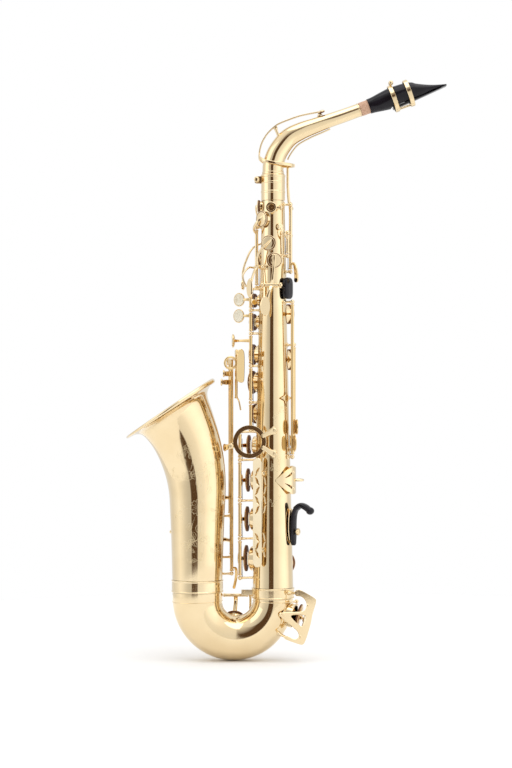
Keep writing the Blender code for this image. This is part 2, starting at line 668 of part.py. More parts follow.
def neck():
    points = [(0, 0, 568.4), (0, 0, 573.4)] + [(x, 0, z) for x, z, _ in NECK_PATH]
    radii = [12.9, 12.9] + [r for _, _, r in NECK_PATH]
    outside = pipe(points, radii, 20)
    tenon = rod((0, 0, NECK_TENON_FOOT), (0, 0, 572.0), 12.0, 20)
    tip = rod(NECK_END - NECK_AXIS * 4, NECK_END + NECK_AXIS * 29.0, 6.3, 20)
    inner_points = [(0, 0, NECK_TENON_FOOT - 4), (0, 0, 573.4)] + [(x, 0, z) for x, z, _ in NECK_PATH]
    inner_points.append(tuple(NECK_END + NECK_AXIS * 34.0))
    inner_radii = [10.8, 10.8] + [r - WALL for _, _, r in NECK_PATH[:-1]] + [5.6, 5.0]
    inside = pipe(inner_points, inner_radii, 20)
    pip_base = Vector((57.9, 0, 628.5))
    pip_out = Vector((-0.34, 0, 0.94))
    solids = [outside, tenon, tip, rod(pip_base, pip_base + pip_out * 11.2, 2.4, 10)]
    for y in (-4.6, 4.6):
        solids.append(pipe([(9, y * 0.6, 606), (4.6, y, 618), (NECK_HINGE.x, y, NECK_HINGE.z)],
                           [1.8, 1.6, 2.2], 8))
    cuts = [inside, rod(pip_base, pip_base + pip_out * 20, 0.9, 8)]
    node("neck_tube", solids, cuts=cuts)
    brace = [(17.4, 0, 585.9), (21.4, 0, 593.0), (29.4, 0, 602.6), (43.2, 0, 610.6), (57.6, 0, 617.0),
             (66.2, 0, 620.9)]
    node("neck_brace", [bar(brace, 4.6, 1.8, (0, 1, 0))])
    cork_low = NECK_END + NECK_AXIS * 0.4
    node("neck_cork", [turned(((6.6, 0), (8.0, 0.5), (7.9, 27.5), (6.6, 28.0)), cork_low, NECK_AXIS, 20,
                              closed=True)], "cork")


def neck_octave_key():
    solids = [turned(((2.0, -2.0), (2.0, 2.0)), NECK_HINGE, (0, 1, 0), 10)]
    arm = [(59.6, 641.9), (50.8, 640.6), (32.6, 636.9), (19.1, 632.4), (9.1, 628.4), (2.6, 624.6),
           (-6.4, 616.0), (-12.4, 606.5), (-15.2, 598.0), (-16.3, 590.0)]
    solids.append(bar([(x, 0, z) for x, z in arm], [3.4] * 9 + [4.5], 2.0, (0, 1, 0)))
    solids.append(turned(((3.6, 0), (3.6, 1.8), (2.4, 2.6)), (56.6, 0, 640.3), (-0.34, 0, 0.94), 12))
    loop = []
    for side in (-1, 1):
        branch = [(-16.3, side * 1.2, 591.5), (-15.6, side * 7.5, 587.0), (-9.0, side * 14.8, 582.6),
                  (2.0, side * 16.6, 580.2), (13.0, side * 14.6, 579.0), (22.0, side * 7.5, 578.4),
                  (24.6, side * -0.8, 578.2)]
        loop.append(bar(branch, 3.6, 1.6, (0, 0, 1)))
    solids.extend(loop)
    node("neck_octave_key", solids, pivot=NECK_HINGE)


MOUTH_UP = Vector((-NECK_AXIS.z, 0, NECK_AXIS.x))
# (station, top, bottom, half width) along the mouthpiece, from its shank to its tip
MOUTHPIECE = ((-1.0, 8.8, -8.8, 8.8), (5.0, 9.2, -9.4, 9.3), (14.0, 10.6, -10.8, 10.4),
              (24.0, 12.0, -12.0, 11.3), (31.0, 12.4, -11.8, 11.6), (46.0, 11.6, -11.2, 11.4),
              (55.0, 9.6, -10.8, 10.8), (60.0, 6.2, -10.4, 10.3), (75.0, -0.8, -9.2, 9.4),
              (92.2, -6.6, -7.8, 8.2))
MOUTH_START = NECK_END + NECK_AXIS * 12.5


def mouth_ring(station, top, bottom, half, grow=0.0, segments=20):
    centre = MOUTH_START + NECK_AXIS * station + MOUTH_UP * ((top + bottom) / 2)
    points = []
    for i in range(segments):
        turn = 2 * math.pi * (i + 0.5) / segments
        rise = math.sin(turn)
        flatten = 0.0 if rise > 0 or station < 24 else 0.35
        lift = rise * ((top - bottom) / 2 + grow)
        if flatten and rise < -0.72:
            lift = -0.86 * ((top - bottom) / 2 + grow)
        points.append(centre + MOUTH_UP * lift + Vector((0, 1, 0)) * math.cos(turn) * (half + grow))
    return points


def mouthpiece():
    body = skin([mouth_ring(*station) for station in MOUTHPIECE])
    bore = rod(MOUTH_START - NECK_AXIS * 6, MOUTH_START + NECK_AXIS * 17.5, 8.3, 20)
    chamber = pipe([MOUTH_START + NECK_AXIS * 10, MOUTH_START + NECK_AXIS * 52], [5.4, 5.0], 14)
    window = slab(((40, -3), (60, -4.6), (86, -7.4), (86, -16), (40, -16)), MOUTH_START + Vector((0, 5.2, 0)),
                  NECK_AXIS, MOUTH_UP, 10.4)
    node("mouthpiece", [body], "ebonite", cuts=[bore, chamber, window])


def reed():
    """A flat-backed reed under the mouthpiece's table, thinning to its tip."""
    rings = []
    for station, level, thick, half in ((24.5, -10.9, 3.0, 6.4), (31.0, -10.6, 3.0, 6.6),
                                        (46.0, -10.1, 2.6, 6.9),
                                        (58.0, -9.8, 2.0, 7.2), (78.0, -9.1, 1.0, 7.5), (92.0, -8.3, 0.5,
                                                7.8)):
        middle = MOUTH_START + NECK_AXIS * station + MOUTH_UP * level
        rings.append([middle + Vector((0, -half, 0)), middle + Vector((0, half, 0)),
                      middle + Vector((0, half - 1.4, 0)) - MOUTH_UP * thick,
                      middle + Vector((0, -half + 1.4, 0)) - MOUTH_UP * thick])
    node("reed", [skin(rings)], "ebonite")


LIGATURE_BANDS = (26.5, 45.5)
LIGATURE_BAND_WIDTH = 5.0
LIGATURE_SCREW = MOUTH_START + NECK_AXIS * 32.0 + MOUTH_UP * 16.7


def ligature():
    solids = []
    for station in LIGATURE_BANDS:
        rings = []
        for position in (station, station + LIGATURE_BAND_WIDTH):
            rings.append(mouth_ring(position, 13.6, -16.4, 12.5, 0.0, 24))
            rings.append(mouth_ring(position, 14.8, -17.7, 13.7, 0.0, 24))
        order = [rings[0], rings[1], rings[3], rings[2]]
        solids.append(skin(order, closed=True))
    bottom = MOUTH_START - MOUTH_UP * 15.0
    for y in (-6.5, 6.5):
        side = Vector((0, y, 0))
        solids.append(bar([bottom + NECK_AXIS * 28 + side, bottom + NECK_AXIS * 49 + side], 2.2, 1.4,
                          (0, 1, 0)))
    top = LIGATURE_SCREW
    solids.append(turned(((2.8, -3.4), (2.8, 3.4)), top, (0, 1, 0), 10))
    hole = rod(top - Vector((0, 12, 0)), top + Vector((0, 12, 0)), 1.3, 10)
    node("ligature", solids, cuts=[hole])
    head = top - Vector((0, 4.2, 0))
    node("ligature_screw", [rod(head - Vector((0, 1.0, 0)), head + Vector((0, 6.4, 0)), 0.95, 8),
                            turned(((2.1, 0), (2.6, 0.8), (2.6, 3.2), (2.0, 4.2)), head - Vector((0, 0.4, 0)),
                                   (0, -1, 0), 12)], pivot=head)


# ---- the keys ----

OPEN = 14.0
TABLE_OPEN = 8.8


def stack_key(name, hole, rod_at, low, high, pearl=None, opening=OPEN, touch_cup=False):
    """A key on an upright rod: a tube, a pad cup over its tone hole, and an arm between them."""
    angle, height, _, cup = TONE_HOLES[hole]
    out = outward(angle)
    base = cup_base(hole)
    thick = 3.4 if hole in SMALL_HOLES else 4.4
    centre = base + out * (thick - 0.5)
    x, y = rod_at
    level = min(max(height, low + 3), high - 3)
    hinge = Vector((x, y, level))
    solids = [rod((x, y, low), (x, y, high), ROD_RADIUS, ROD_SIDES), cup_solid(base, out, cup, thick)]
    knee = centre + out * 2.6 + (hinge - centre) * 0.42
    solids.append(bar([hinge, knee, centre], 4.2, 2.0, (0, 0, 1)))
    if touch_cup:
        solids.append(turned(((2.2, -1.0), (2.0, 3.6), (7.2, 4.6), (7.4, 6.2), (5.6, 7.0)), centre, out, 10))
    if pearl:
        place, facing = pearl
        start = Vector((x, y, min(max(place[2], low + 3), high - 3)))
        facing = Vector(facing)
        solids.append(bar([start, (start + Vector(place)) / 2 + facing * 1.5, Vector(place)], 3.0, 2.0,
                          (0, 0, 1)))
        solids.append(turned(((6.6, -0.8), (8.0, 0.4), (8.0, 1.8), (6.4, 2.8)), place, facing, 10))
    return node(name, solids, pivot=(x, y, (low + high) / 2), axis=(0, 0, 1), angle=opening)


def upper_stack():
    stack_key("C_key", "C", UPPER_ROD, 411.8, 430.8, pearl=((-36.5, 4.5, 421.5), (-0.8, -0.6, 0)))
    stack_key("B_key", "B", UPPER_ROD, 384.6, 406.2, pearl=((-37.0, 4.5, 402.5), (-0.8, -0.6, 0)))
    stack_key("A_key", "A", UPPER_ROD, 346.8, 379.0, pearl=((-42.5, 10, 373.5), (-1, 0.2, 0)))
    stack_key("G_key", "G", UPPER_ROD, 304.2, 341.2)
    stack_key("G_sharp_key", "G_sharp", UPPER_ROD, 272.4, 298.6, opening=0)


def lower_stack():
    stack_key("F_sharp_key", "F_sharp", LOWER_ROD, 237.2, 264.4)
    stack_key("F_key", "F", LOWER_ROD, 189.8, 231.6, touch_cup=True)
    stack_key("E_key", "E", LOWER_ROD, 145.6, 184.2, touch_cup=True)
    stack_key("D_key", "D", LOWER_ROD, 99.8, 140.0, touch_cup=True)


def spoon(centre, facing, wide, tall, lean=(0, 0, 1)):
    """A palm touch: a shallow dished oval."""
    facing = Vector(facing).normalized()
    v = Vector(lean)
    v = (v - facing * v.dot(facing)).normalized()
    u = v.cross(facing)
    return slab(ellipse(wide, tall, 14), Vector(centre), u, v, 2.2)


PALM_EB_PIVOT = around(-58, 21.0, 459.0)
PALM_EB_AXIS = outward(32)


def palm_keys():
    thick = 3.4
    base = cup_base("palm_D")
    out = outward(TONE_HOLES["palm_D"][0])
    pivot = Vector((-2.0, -21.0, 437.8))
    solids = [rod((-9.9, -21, 437.8), (5.9, -21, 437.8), 2.0, ROD_SIDES), cup_solid(base, out, 9.2, thick),
              bar([pivot, (0.0, -24.2, 450.0), base + out * (thick + 0.9),
                   base + out * (thick - 0.2) + Vector((0, 0, 6))],
                  [4, 3.4, 3.4, 3], 2.0, (1, 0, 0)),
              bar([pivot, (-5.0, -25.5, 428.0), (-8.4, -27.6, 418.0)], [4, 3.6, 3.6], 2.0, (1, 0, 0)),
              spoon((-9.4, -28.4, 413.0), (0, -1, 0), 5.8, 11.5)]
    node("palm_D_key", solids, pivot=pivot)
    base = cup_base("palm_Eb")
    out = outward(TONE_HOLES["palm_Eb"][0])
    side = PALM_EB_AXIS
    pivot = PALM_EB_PIVOT
    solids = [rod(pivot - side * 5, pivot + side * 5, 2.0, ROD_SIDES), cup_solid(base, out, 9.2, thick),
              bar([pivot, pivot + Vector((-0.6, -5.0, 10)), base + out * (thick + 2.4) + Vector((-8, 2, -8)),
                   base + out * (thick - 0.2)], [4, 3.4, 3.4, 3.2], 2.0, side),
              bar([pivot, pivot + Vector((-5.0, -4.0, -8)), (-26.0, -20.4, 440)], [4, 3.6, 3.6], 2.0, side),
              spoon((-26.6, -21.0, 434.0), outward(-52), 5.2, 11.5)]
    node("palm_Eb_key", solids, pivot=pivot)
    base = cup_base("palm_F")
    out = outward(TONE_HOLES["palm_F"][0])
    x, y = PALM_F_ROD
    solids = [rod((x, y, 438.8), (x, y, 503.7), 1.9, ROD_SIDES), cup_solid(base, out, 9.6, thick),
              bar([(x, y, 500.0), (x - 3.6, y - 9.0, 504.0), base + out * (thick + 1.4) + Vector((-3, 2, -4)),
                   base + out * (thick - 0.2)], [4, 3.6, 3.6, 3.2], 2.0, (0, 0, 1)),
              bar([(x, y, 458.0), (-28.4, -1.0, 459.0), (-35.4, -5.5, 449.0), (-32.0, -7.5, 438.0)],
                  [4, 4, 5, 6], 2.2, (0, 1, 0.2))]
    node("palm_F_key", solids, pivot=(x, y, 471.0))
    base = cup_base("front_F")
    out = outward(TONE_HOLES["front_F"][0])
    x, y = FRONT_F_ROD
    solids = [rod((x, y, 486.8), (x, y, 516.2), 1.9, ROD_SIDES), cup_solid(base, out, 7.4, thick),
              bar([(x, y, 513.0), (x - 9.0, y - 0.5, 519.0), base + out * (thick + 1.2) + Vector((0, 3, -2)),
                   base + out * (thick - 0.2)], 3.2, 2.0, (0, 0, 1)),
              bar([(x, y, 490.0), (-23.0, 17.0, 483.5), (-31.0, 11.0, 469.0), (-35.5, 9.0, 453.0),
                   (-34.0, 8.0, 441.0)], [3.6, 3.4, 3.4, 3.6, 5], 2.0, (0.4, 1, 0)),
              turned(((5.0, -1.0), (6.0, 0.2), (6.0, 1.4), (4.6, 2.2)), (-34.6, 7.2, 439.0), (-1, 0.2, 0),
                     12)]
    node("front_F_key", solids, pivot=(x, y, 501.5))


def side_keys():
    for name, hole, rod_at, low, high, touch in (
            ("side_C_key", "side_C", SIDE_C_ROD, 240.8, 415.8, ((2.0, -4.0, 254.0), (3.2, -10.0, 254.0))),
            ("side_Bb_key", "side_Bb", SIDE_BB_ROD, 248.8, 365.8, ((3.4, -4.5, 273.0), (3.8, -11.0, 273.0)))):
        angle, height, _, cup = TONE_HOLES[hole]
        out = outward(angle)
        base = cup_base(hole)
        x, y = rod_at
        solids = [rod((x, y, low), (x, y, high), ROD_RADIUS, ROD_SIDES), cup_solid(base, out, cup),
                  bar([(x, y, height), base + out * 5.6 + Vector((2.5, -5.0, 0)), base + out * 3.8], 4.2,
                      2.0, (0, 0, 1)),
                  bar([(x, y, touch[0][2])] + [(x + a, y + b, z) for a, b, z in touch], [12, 18, 16], 2.0,
                      (0, 0, 1))]
        node(name, solids, pivot=(x, y, (low + high) / 2))
    angle, height, _, cup = TONE_HOLES["high_E"]
    out = outward(angle)
    base = cup_base("high_E")
    x, y = HIGH_E_ROD
    solids = [rod((x, y, 244.8), (x, y, 484.2), ROD_RADIUS, ROD_SIDES), cup_solid(base, out, cup, 3.4),
              bar([(x, y, height), base + out * 4.6 + Vector((5, 2, 0)), base + out * 3.0], 4.0, 2.0,
                  (0, 0, 1)),
              bar([(x, y, 256.0), (x + 6, y + 3.5, 256.0), (x + 14, y + 2.5, 256.0)], [12, 18, 16], 2.0,
                  (0, 0, 1))]
    node("high_E_key", solids, pivot=(x, y, 360.0))


def octave_keys():
    x, y = OCTAVE_ROD
    solids = [rod((x, y, 456.8), (x, y, 529.8), 2.0, 10),
              bar([(x, y, 463.0), (x + 4.5, y - 5.5, 461.5), (x + 6.5, y - 9.0, 450.0),
                   (x + 6.5, y - 9.5, 446.0)],
                  [4, 6, 9, 10], 2.0, (0.5, -1, 0)),
              bar([(x, y, 527.0), (x + 1.6, y + 5.0, 528.5), (x - 1.5, y + 9.0, 535.0),
                   (x - 3.2, y + 9.5, 556.0)],
                  [4, 3.6, 3.4, 3.0], 2.4, (1, 0.3, 0)),
              rod((x - 3.2, y + 9.5, 553.0), (x - 3.2, y + 9.5, 581.0), 1.5, 8)]
    node("octave_lever", solids, pivot=(x, y, 493.0))
    x, y = BODY_OCTAVE_ROD
    base = around(28, body_radius(506.0) + 2.4, 506.0)
    solids = [rod((x, y, 474.8), (x, y, 496.2), 1.8, ROD_SIDES), cup_solid(base, outward(28), 4.0, 3.0, 12),
              bar([(x, y, 492.5), (13.0, -19.5, 498.0), base + outward(28) * 2.6], 3.0, 2.0, (0, 0, 1))]
    node("body_octave_key", solids, pivot=(x, y, 486.0))


def bell_keys():
    for name, rod_at, low, high, (height, _, cup), touch, bend in (
            ("low_Bb_key", BB_ROD, 170.0, 346.0, BELL_HOLES[1], 325.0, 22.5),
            ("low_B_key", B_ROD, 121.8, 338.0, BELL_HOLES[0], 335.0, 15.5)):
        x, y = rod_at
        base = Vector((BELL_X, BELL_CHIMNEY_TOP + PAD_GAP, height))
        out = Vector((0, 1, 0))
        solids = [rod((x, y, low), (x, y, high), 2.1, ROD_SIDES), cup_solid(base, out, cup, 4.6, 16),
                  bar([(x, y, height), (x - 9.0, 40.4, height), (x - 20, 40.6, height),
                       (BELL_X, 39.8, height)],
                      [5, 5, 5, 6], 2.4, (0, 0, 1)),
                  bar([(x, y, touch), (x - 6.0, bend, touch), (x - 6.4, 8.0, touch), (x - 4.6, -3.0, touch),
                       (x - 2.6, -18.0, touch)], [6, 6, 6, 8, 8], 2.0, (0, 0, 1))]
        node(name, solids, pivot=(x, y, (low + high) / 2), axis=(0, 0, 1), angle=-TABLE_OPEN)
    x, y = CS_ROD
    solids = [rod((x, y, 102.8), (x, y, 352.0), 2.0, 10),
              bar([(x, y, 349.0), (x - 5.0, 0.0, 349.0), (x - 4.6, -17.0, 349.0)], [6, 7, 8], 2.0, (0, 0, 1)),
              bar([(x, y, 107.0), (x + 5.0, y + 3, 105.0), (x + 5.0, y + 8, 94.0), (x + 2.5, y + 13, 82.0)],
                  3.4, 2.0, (1, 0, 0))]
    node("low_Cs_lever", solids, pivot=(x, y, 227.0))
    pivot = Vector((-44.0, 34.5, 72.5))
    base = LOW_CS_CENTRE + LOW_CS_OUT * (bow_radius(92) + LOW_CS_CHIMNEY + PAD_GAP)
    solids = [rod((-58.7, 34.5, 72.5), (-29.3, 34.5, 72.5), 1.9, ROD_SIDES),
              cup_solid(base, LOW_CS_OUT, 13.2, 4.4, 14),
              bar([pivot, pivot + Vector((0, 1.5, -9)), base + LOW_CS_OUT * 3.8], [5, 5, 6], 2.2, (1, 0, 0))]
    node("low_Cs_key", solids, pivot=pivot)
    x, y = GS_LEVER_ROD
    solids = [rod((x, y, 306.0), (x, y, 362.0), 1.7, 10),
              bar([(x, y, 358.0), (x - 1.0, -4.0, 358.0), (x - 0.6, -18.0, 357.0)], [5, 8, 10], 2.0,
                  (0, 0, 1)),
              bar([(x, y, 308.0), (x + 3, y + 2, 303.0), (x + 5.0, y + 3.0, 293.0)], 3.2, 1.8, (0, 1, 0))]
    node("G_sharp_lever", solids, pivot=(x, y, 334.0))


def low_keys():
    angle, height, _, cup = TONE_HOLES["low_Eb"]
    out = outward(angle)
    base = cup_base("low_Eb")
    x, y = EB_ROD
    solids = [rod((x, y, 94.8), (x, y, 187.2), ROD_RADIUS, ROD_SIDES), cup_solid(base, out, cup, 4.6),
              bar([(x, y, height), base + out * 5.4 + Vector((-4, 4, 0)), base + out * 4.0], [5, 5, 6], 2.2,
                  (0, 0, 1)),
              bar([(x, y, 184.0), (x - 6, y + 9.0, 184.0), (x - 20, y + 10.0, 184.0)], [6, 9, 9], 2.2,
                  (0, 0, 1))]
    node("low_Eb_key", solids, pivot=(x, y, 141.0))
    x, y = LOW_C_LEVER_ROD
    solids = [rod((x, y, 100.8), (x, y, 193.2), 1.6, 10),
              bar([(x, y, 173.0), (x - 6, y + 5.5, 173.0), (x - 16, y + 5.5, 173.0)], [6, 8, 8], 2.2,
                  (0, 0, 1))]
    node("low_C_lever", solids, pivot=(x, y, 146.0))
    x, y = LOW_C_ROD
    base = LOW_C_CENTRE + LOW_C_OUT * (bow_radius(15) + 4.0 + 2 * PAD_GAP)
    solids = [rod((x, y, 46.8), (x, y, 63.7), 1.9, ROD_SIDES), cup_solid(base, LOW_C_OUT, 15.2, 4.4, 14),
              bar([(x, y, 55.2), base + LOW_C_OUT * 7.4 + Vector((0, 11, 0)), base + LOW_C_OUT * 4.0],
                  [5, 5, 6], 2.2, (0, 0, 1))]
    node("low_C_key", solids, pivot=(x, y, 55.2), axis=(0, 0, 1), angle=7.0)


def main():
    remove_everything()
    body_tube()
    neck_receiver()
    receiver_screw()
    bow()
    ferrules()
    bell()
    bell_brace()
    strap_ring()
    thumb_hook()
    thumb_rest()
    lyre_holder()
    clothes_guard()
    guard_feet()
    low_c_guard()
    bell_key_guard()
    neck()
    neck_octave_key()
    mouthpiece()
    reed()
    ligature()
    upper_stack()
    lower_stack()
    palm_keys()
    side_keys()
    octave_keys()
    bell_keys()
    low_keys()


main()
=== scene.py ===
# The looks of an alto saxophone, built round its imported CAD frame.
# Design frame, in millimetres: the body tube stands on the Z axis, the bell is
# towards -X, the player is towards +X, and Z is 0 at the lowest point of the bow.
# World frame, in metres: the same directions, with the origin at the strap ring.

import json
from math import copysign, cos, degrees, hypot, pi, radians, sin, sqrt

import bmesh
import bpy
from mathutils import Matrix, Vector

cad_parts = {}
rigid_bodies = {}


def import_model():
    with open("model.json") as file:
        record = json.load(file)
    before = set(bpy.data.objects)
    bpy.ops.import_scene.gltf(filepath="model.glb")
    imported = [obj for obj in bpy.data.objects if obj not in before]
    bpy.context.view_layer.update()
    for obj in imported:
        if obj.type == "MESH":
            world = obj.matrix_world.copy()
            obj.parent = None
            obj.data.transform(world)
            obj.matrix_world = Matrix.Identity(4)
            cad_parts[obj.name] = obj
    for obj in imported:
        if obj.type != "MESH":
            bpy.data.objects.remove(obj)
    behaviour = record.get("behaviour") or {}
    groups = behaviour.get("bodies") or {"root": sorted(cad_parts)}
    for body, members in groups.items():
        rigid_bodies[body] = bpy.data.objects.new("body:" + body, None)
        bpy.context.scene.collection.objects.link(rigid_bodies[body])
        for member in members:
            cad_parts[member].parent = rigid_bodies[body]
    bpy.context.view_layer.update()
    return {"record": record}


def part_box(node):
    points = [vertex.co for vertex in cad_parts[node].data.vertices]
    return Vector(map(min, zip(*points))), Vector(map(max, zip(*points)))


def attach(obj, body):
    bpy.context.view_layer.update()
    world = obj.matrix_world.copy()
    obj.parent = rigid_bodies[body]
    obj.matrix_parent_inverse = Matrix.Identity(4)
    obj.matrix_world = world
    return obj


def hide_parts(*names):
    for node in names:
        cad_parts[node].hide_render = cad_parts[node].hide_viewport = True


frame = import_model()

BODY_OF = {name: body for body, names in frame["record"]["behaviour"]["bodies"].items() for name in names}
BRASS = "lacquered_brass"
X, Y, Z = (1, 0, 0), (0, 1, 0), (0, 0, 1)
ROUND = 28          # segments round a small turned part
CORNER = 0.35       # how far in from a turned edge its easing starts
SHARP_FROM = 38     # edges that turn by more degrees than this are drawn sharp


# ---- node materials ----

class Nodes:
    """Short calls for wiring a node tree."""

    def __init__(self, tree):
        self.tree = tree

    def add(self, kind, inputs=None, **settings):
        made = self.tree.nodes.new("ShaderNode" + kind)
        for key, value in settings.items():
            setattr(made, key, value)
        for key, value in (inputs or {}).items():
            if isinstance(value, bpy.types.NodeSocket):
                self.tree.links.new(value, made.inputs[key])
            else:
                made.inputs[key].default_value = value
        return made

    def ramp(self, factor, stops):
        made = self.add("ValToRGB", {"Fac": factor})
        elements = made.color_ramp.elements
        while len(elements) < len(stops):
            elements.new(0.5)
        for element, (position, colour) in zip(elements, stops):
            element.position = position
            element.color = tuple(colour) + (1.0,)
        return made.outputs["Color"]


class Shader(Nodes):
    """A Principled material and short calls for its textures."""

    def __init__(self, name, **values):
        self.material = bpy.data.materials.new(name)
        self.material.use_nodes = True
        super().__init__(self.material.node_tree)
        self.main = self.tree.nodes["Principled BSDF"]
        for key, value in values.items():
            self.main.inputs[key.replace("_", " ")].default_value = value
        self.place = self.add("TexCoord").outputs["Object"]

    def stretch(self, scale):
        return self.add("Mapping", {"Vector": self.place, "Scale": scale}).outputs[0]

    def noise(self, scale, detail=3.0, rough=0.5, where=None):
        return self.add("TexNoise", {"Vector": where or self.place, "Scale": scale, "Detail": detail,
                                     "Roughness": rough}).outputs["Fac"]

    def span(self, factor, low, high):
        return self.add("MapRange", {"Value": factor, "To Min": low, "To Max": high}).outputs["Result"]

    def bump(self, height, strength, distance, under=None):
        inputs = {"Height": height, "Strength": strength, "Distance": distance}
        if under:
            inputs["Normal"] = under
        return self.add("Bump", inputs).outputs["Normal"]

    def set(self, **sockets):
        for key, value in sockets.items():
            self.tree.links.new(value, self.main.inputs[key.replace("_", " ")])
        return self.material


def lacquer_material(name, dark, light, low, high):
    """Clear gold lacquer on polished brass: slow colour drift, faint draw lines and orange peel."""
    shader = Shader(name, Metallic=1.0, Coat_Weight=0.35, Coat_Roughness=0.04)
    drift = shader.noise(28.0, 4.0)
    haze = shader.noise(160.0, 5.0, 0.6)
    drawn = shader.noise(900.0, 2.0, where=shader.stretch((1.0, 1.0, 0.03)))
    peel = shader.noise(420.0, 2.0)
    normal = shader.bump(drawn, 0.05, 0.00004)
    return shader.set(Base_Color=shader.ramp(drift, ((0.3, dark), (0.7, light))),
                      Roughness=shader.span(haze, low, high),
                      Normal=shader.bump(peel, 0.08, 0.00005, normal))


def make_materials():
    made = {
        "lacquer": lacquer_material(BRASS, (0.82, 0.645, 0.385), (0.88, 0.715, 0.455), 0.045, 0.11),
        "pale": lacquer_material("lacquered_brass_plate", (0.84, 0.70, 0.46), (0.90, 0.78, 0.55), 0.10, 0.2),
        "gold": lacquer_material("lacquered_brass_keys", (0.79, 0.565, 0.265), (0.85, 0.635, 0.325), 0.05,
                                 0.12),
        # cup brass: a darker, browner copy of the lacquer, a painted dark reflection of the unlit room in the
        # cup domes
        "deep": lacquer_material("lacquered_brass_cup_painted_reflection", (0.60, 0.40, 0.19), (0.70, 0.49, 0.25), 0.05, 0.12),
        "cut_line": lacquer_material("engraved_brass", (0.80, 0.63, 0.35), (0.90, 0.76, 0.50), 0.35, 0.5),
    }
    shader = Shader("ebonite", IOR=1.45, Specular_IOR_Level=0.3)
    wear = shader.noise(90.0, 5.0, 0.6)
    swirl = shader.noise(700.0, 2.0, where=shader.stretch((0.2, 1.0, 1.0)))
    made["ebonite"] = shader.set(
        Base_Color=shader.ramp(wear, ((0.35, (0.006, 0.005, 0.007)), (0.7, (0.013, 0.011, 0.016)))),
        Roughness=shader.span(wear, 0.06, 0.14), Normal=shader.bump(swirl, 0.05, 0.00004))
    shader = Shader("cork", Roughness=0.85)
    grain = shader.noise(900.0, 6.0, 0.7)
    cells = shader.add("TexVoronoi", {"Vector": shader.place, "Scale": 700.0}).outputs["Distance"]
    specks = shader.ramp(grain, ((0.36, (0.30, 0.15, 0.08)), (0.46, (0.60, 0.37, 0.25)),
                                 (0.75, (0.70, 0.47, 0.34))))
    made["cork"] = shader.set(Base_Color=specks, Normal=shader.bump(cells, 0.5, 0.0003))
    shader = Shader("pad_leather", Specular_IOR_Level=0.2)
    grain = shader.noise(1300.0, 4.0, 0.6)
    made["leather"] = shader.set(
        Base_Color=shader.ramp(grain, ((0.3, (0.11, 0.040, 0.016)), (0.7, (0.24, 0.10, 0.042)))),
        Roughness=shader.span(grain, 0.5, 0.72), Normal=shader.bump(grain, 0.5, 0.0002))
    shader = Shader("mother_of_pearl", Coat_Weight=0.7, Coat_Roughness=0.05, Roughness=0.22)
    bands = shader.noise(220.0, 3.0, 0.5, shader.stretch((1.0, 1.0, 0.35)))
    made["pearl"] = shader.set(
        Base_Color=shader.ramp(bands, ((0.32, (0.66, 0.56, 0.38)), (0.48, (0.86, 0.78, 0.60)),
                                       (0.58, (0.76, 0.72, 0.56)), (0.72, (0.88, 0.76, 0.60)))),
        Roughness=shader.span(bands, 0.16, 0.3))
    shader = Shader("blued_steel", Metallic=1.0)
    grain = shader.noise(600.0, 3.0)
    made["steel"] = shader.set(
        Base_Color=shader.ramp(grain, ((0.3, (0.20, 0.21, 0.26)), (0.7, (0.42, 0.43, 0.46)))),
        Roughness=shader.span(grain, 0.2, 0.36))
    shader = Shader("felt_bumper", Roughness=0.8)
    nap = shader.noise(1600.0, 5.0, 0.7)
    made["amber"] = shader.set(
        Base_Color=shader.ramp(nap, ((0.3, (0.55, 0.24, 0.02)), (0.7, (0.80, 0.42, 0.06)))),
        Normal=shader.bump(nap, 0.6, 0.0003))
    return made


MATERIALS = make_materials()


# ---- solids: each function gives the points and faces of a closed skin, in the design frame ----

def spline(rows, per):
    """Rows of numbers, run through smoothly with `per` steps from each to the next."""
    result = []
    last = len(rows) - 1
    for i in range(last):
        a, b, c, d = rows[max(i - 1, 0)], rows[i], rows[i + 1], rows[min(i + 2, last)]
        for step in range(per):
            t = step / per
            result.append([0.5 * (2 * q + (r - p) * t + (2 * p - 5 * q + 4 * r - s) * t ** 2
                                  + (3 * q - p - 3 * r + s) * t ** 3) for p, q, r, s in zip(a, b, c, d)])
    result.append(list(rows[last]))
    return result


def skin(rings, closed=False):
    """A closed skin over rings of points, capped at both ends or joined end to end."""
    count = len(rings[0])
    points = [Vector(point) for ring_points in rings for point in ring_points]
    starts = [count * i for i in range(len(rings))]
    pairs = list(zip(starts, starts[1:]))
    if closed:
        pairs.append((starts[-1], 0))
    faces = [(low + i, low + (i + 1) % count, high + (i + 1) % count, high + i)
             for low, high in pairs for i in range(count)]
    if not closed:
        faces.append(tuple(range(count - 1, -1, -1)))
        faces.append(tuple(range(starts[-1], starts[-1] + count)))
    return points, faces


def circle(centre, axis, radius, segments, start=None):
    axis = Vector(axis).normalized()
    side = Vector(start) if start else axis.orthogonal()
    side = (side - axis * side.dot(axis)).normalized()
    other = axis.cross(side)
    return [Vector(centre) + (side * cos(turn) + other * sin(turn)) * radius
            for turn in (2 * pi * i / segments for i in range(segments))]


def soften(profile, closed, corner):
    """The profile with each corner rounded off."""
    steps = 3
    count = len(profile)
    result = []
    for i, (r, h) in enumerate(profile):
        if not closed and i in (0, count - 1):
            result.append((r, h))
            continue
        here = Vector((r, h))
        before = Vector(profile[i - 1]) - here
        after = Vector(profile[(i + 1) % count]) - here
        bite = min(corner, before.length / 2.2, after.length / 2.2)
        start = here + before.normalized() * bite
        end = here + after.normalized() * bite
        for step in range(steps + 1):
            t = step / steps
            result.append(tuple(start * (1 - t) ** 2 + here * (2 * t * (1 - t)) + end * t ** 2))
    return result


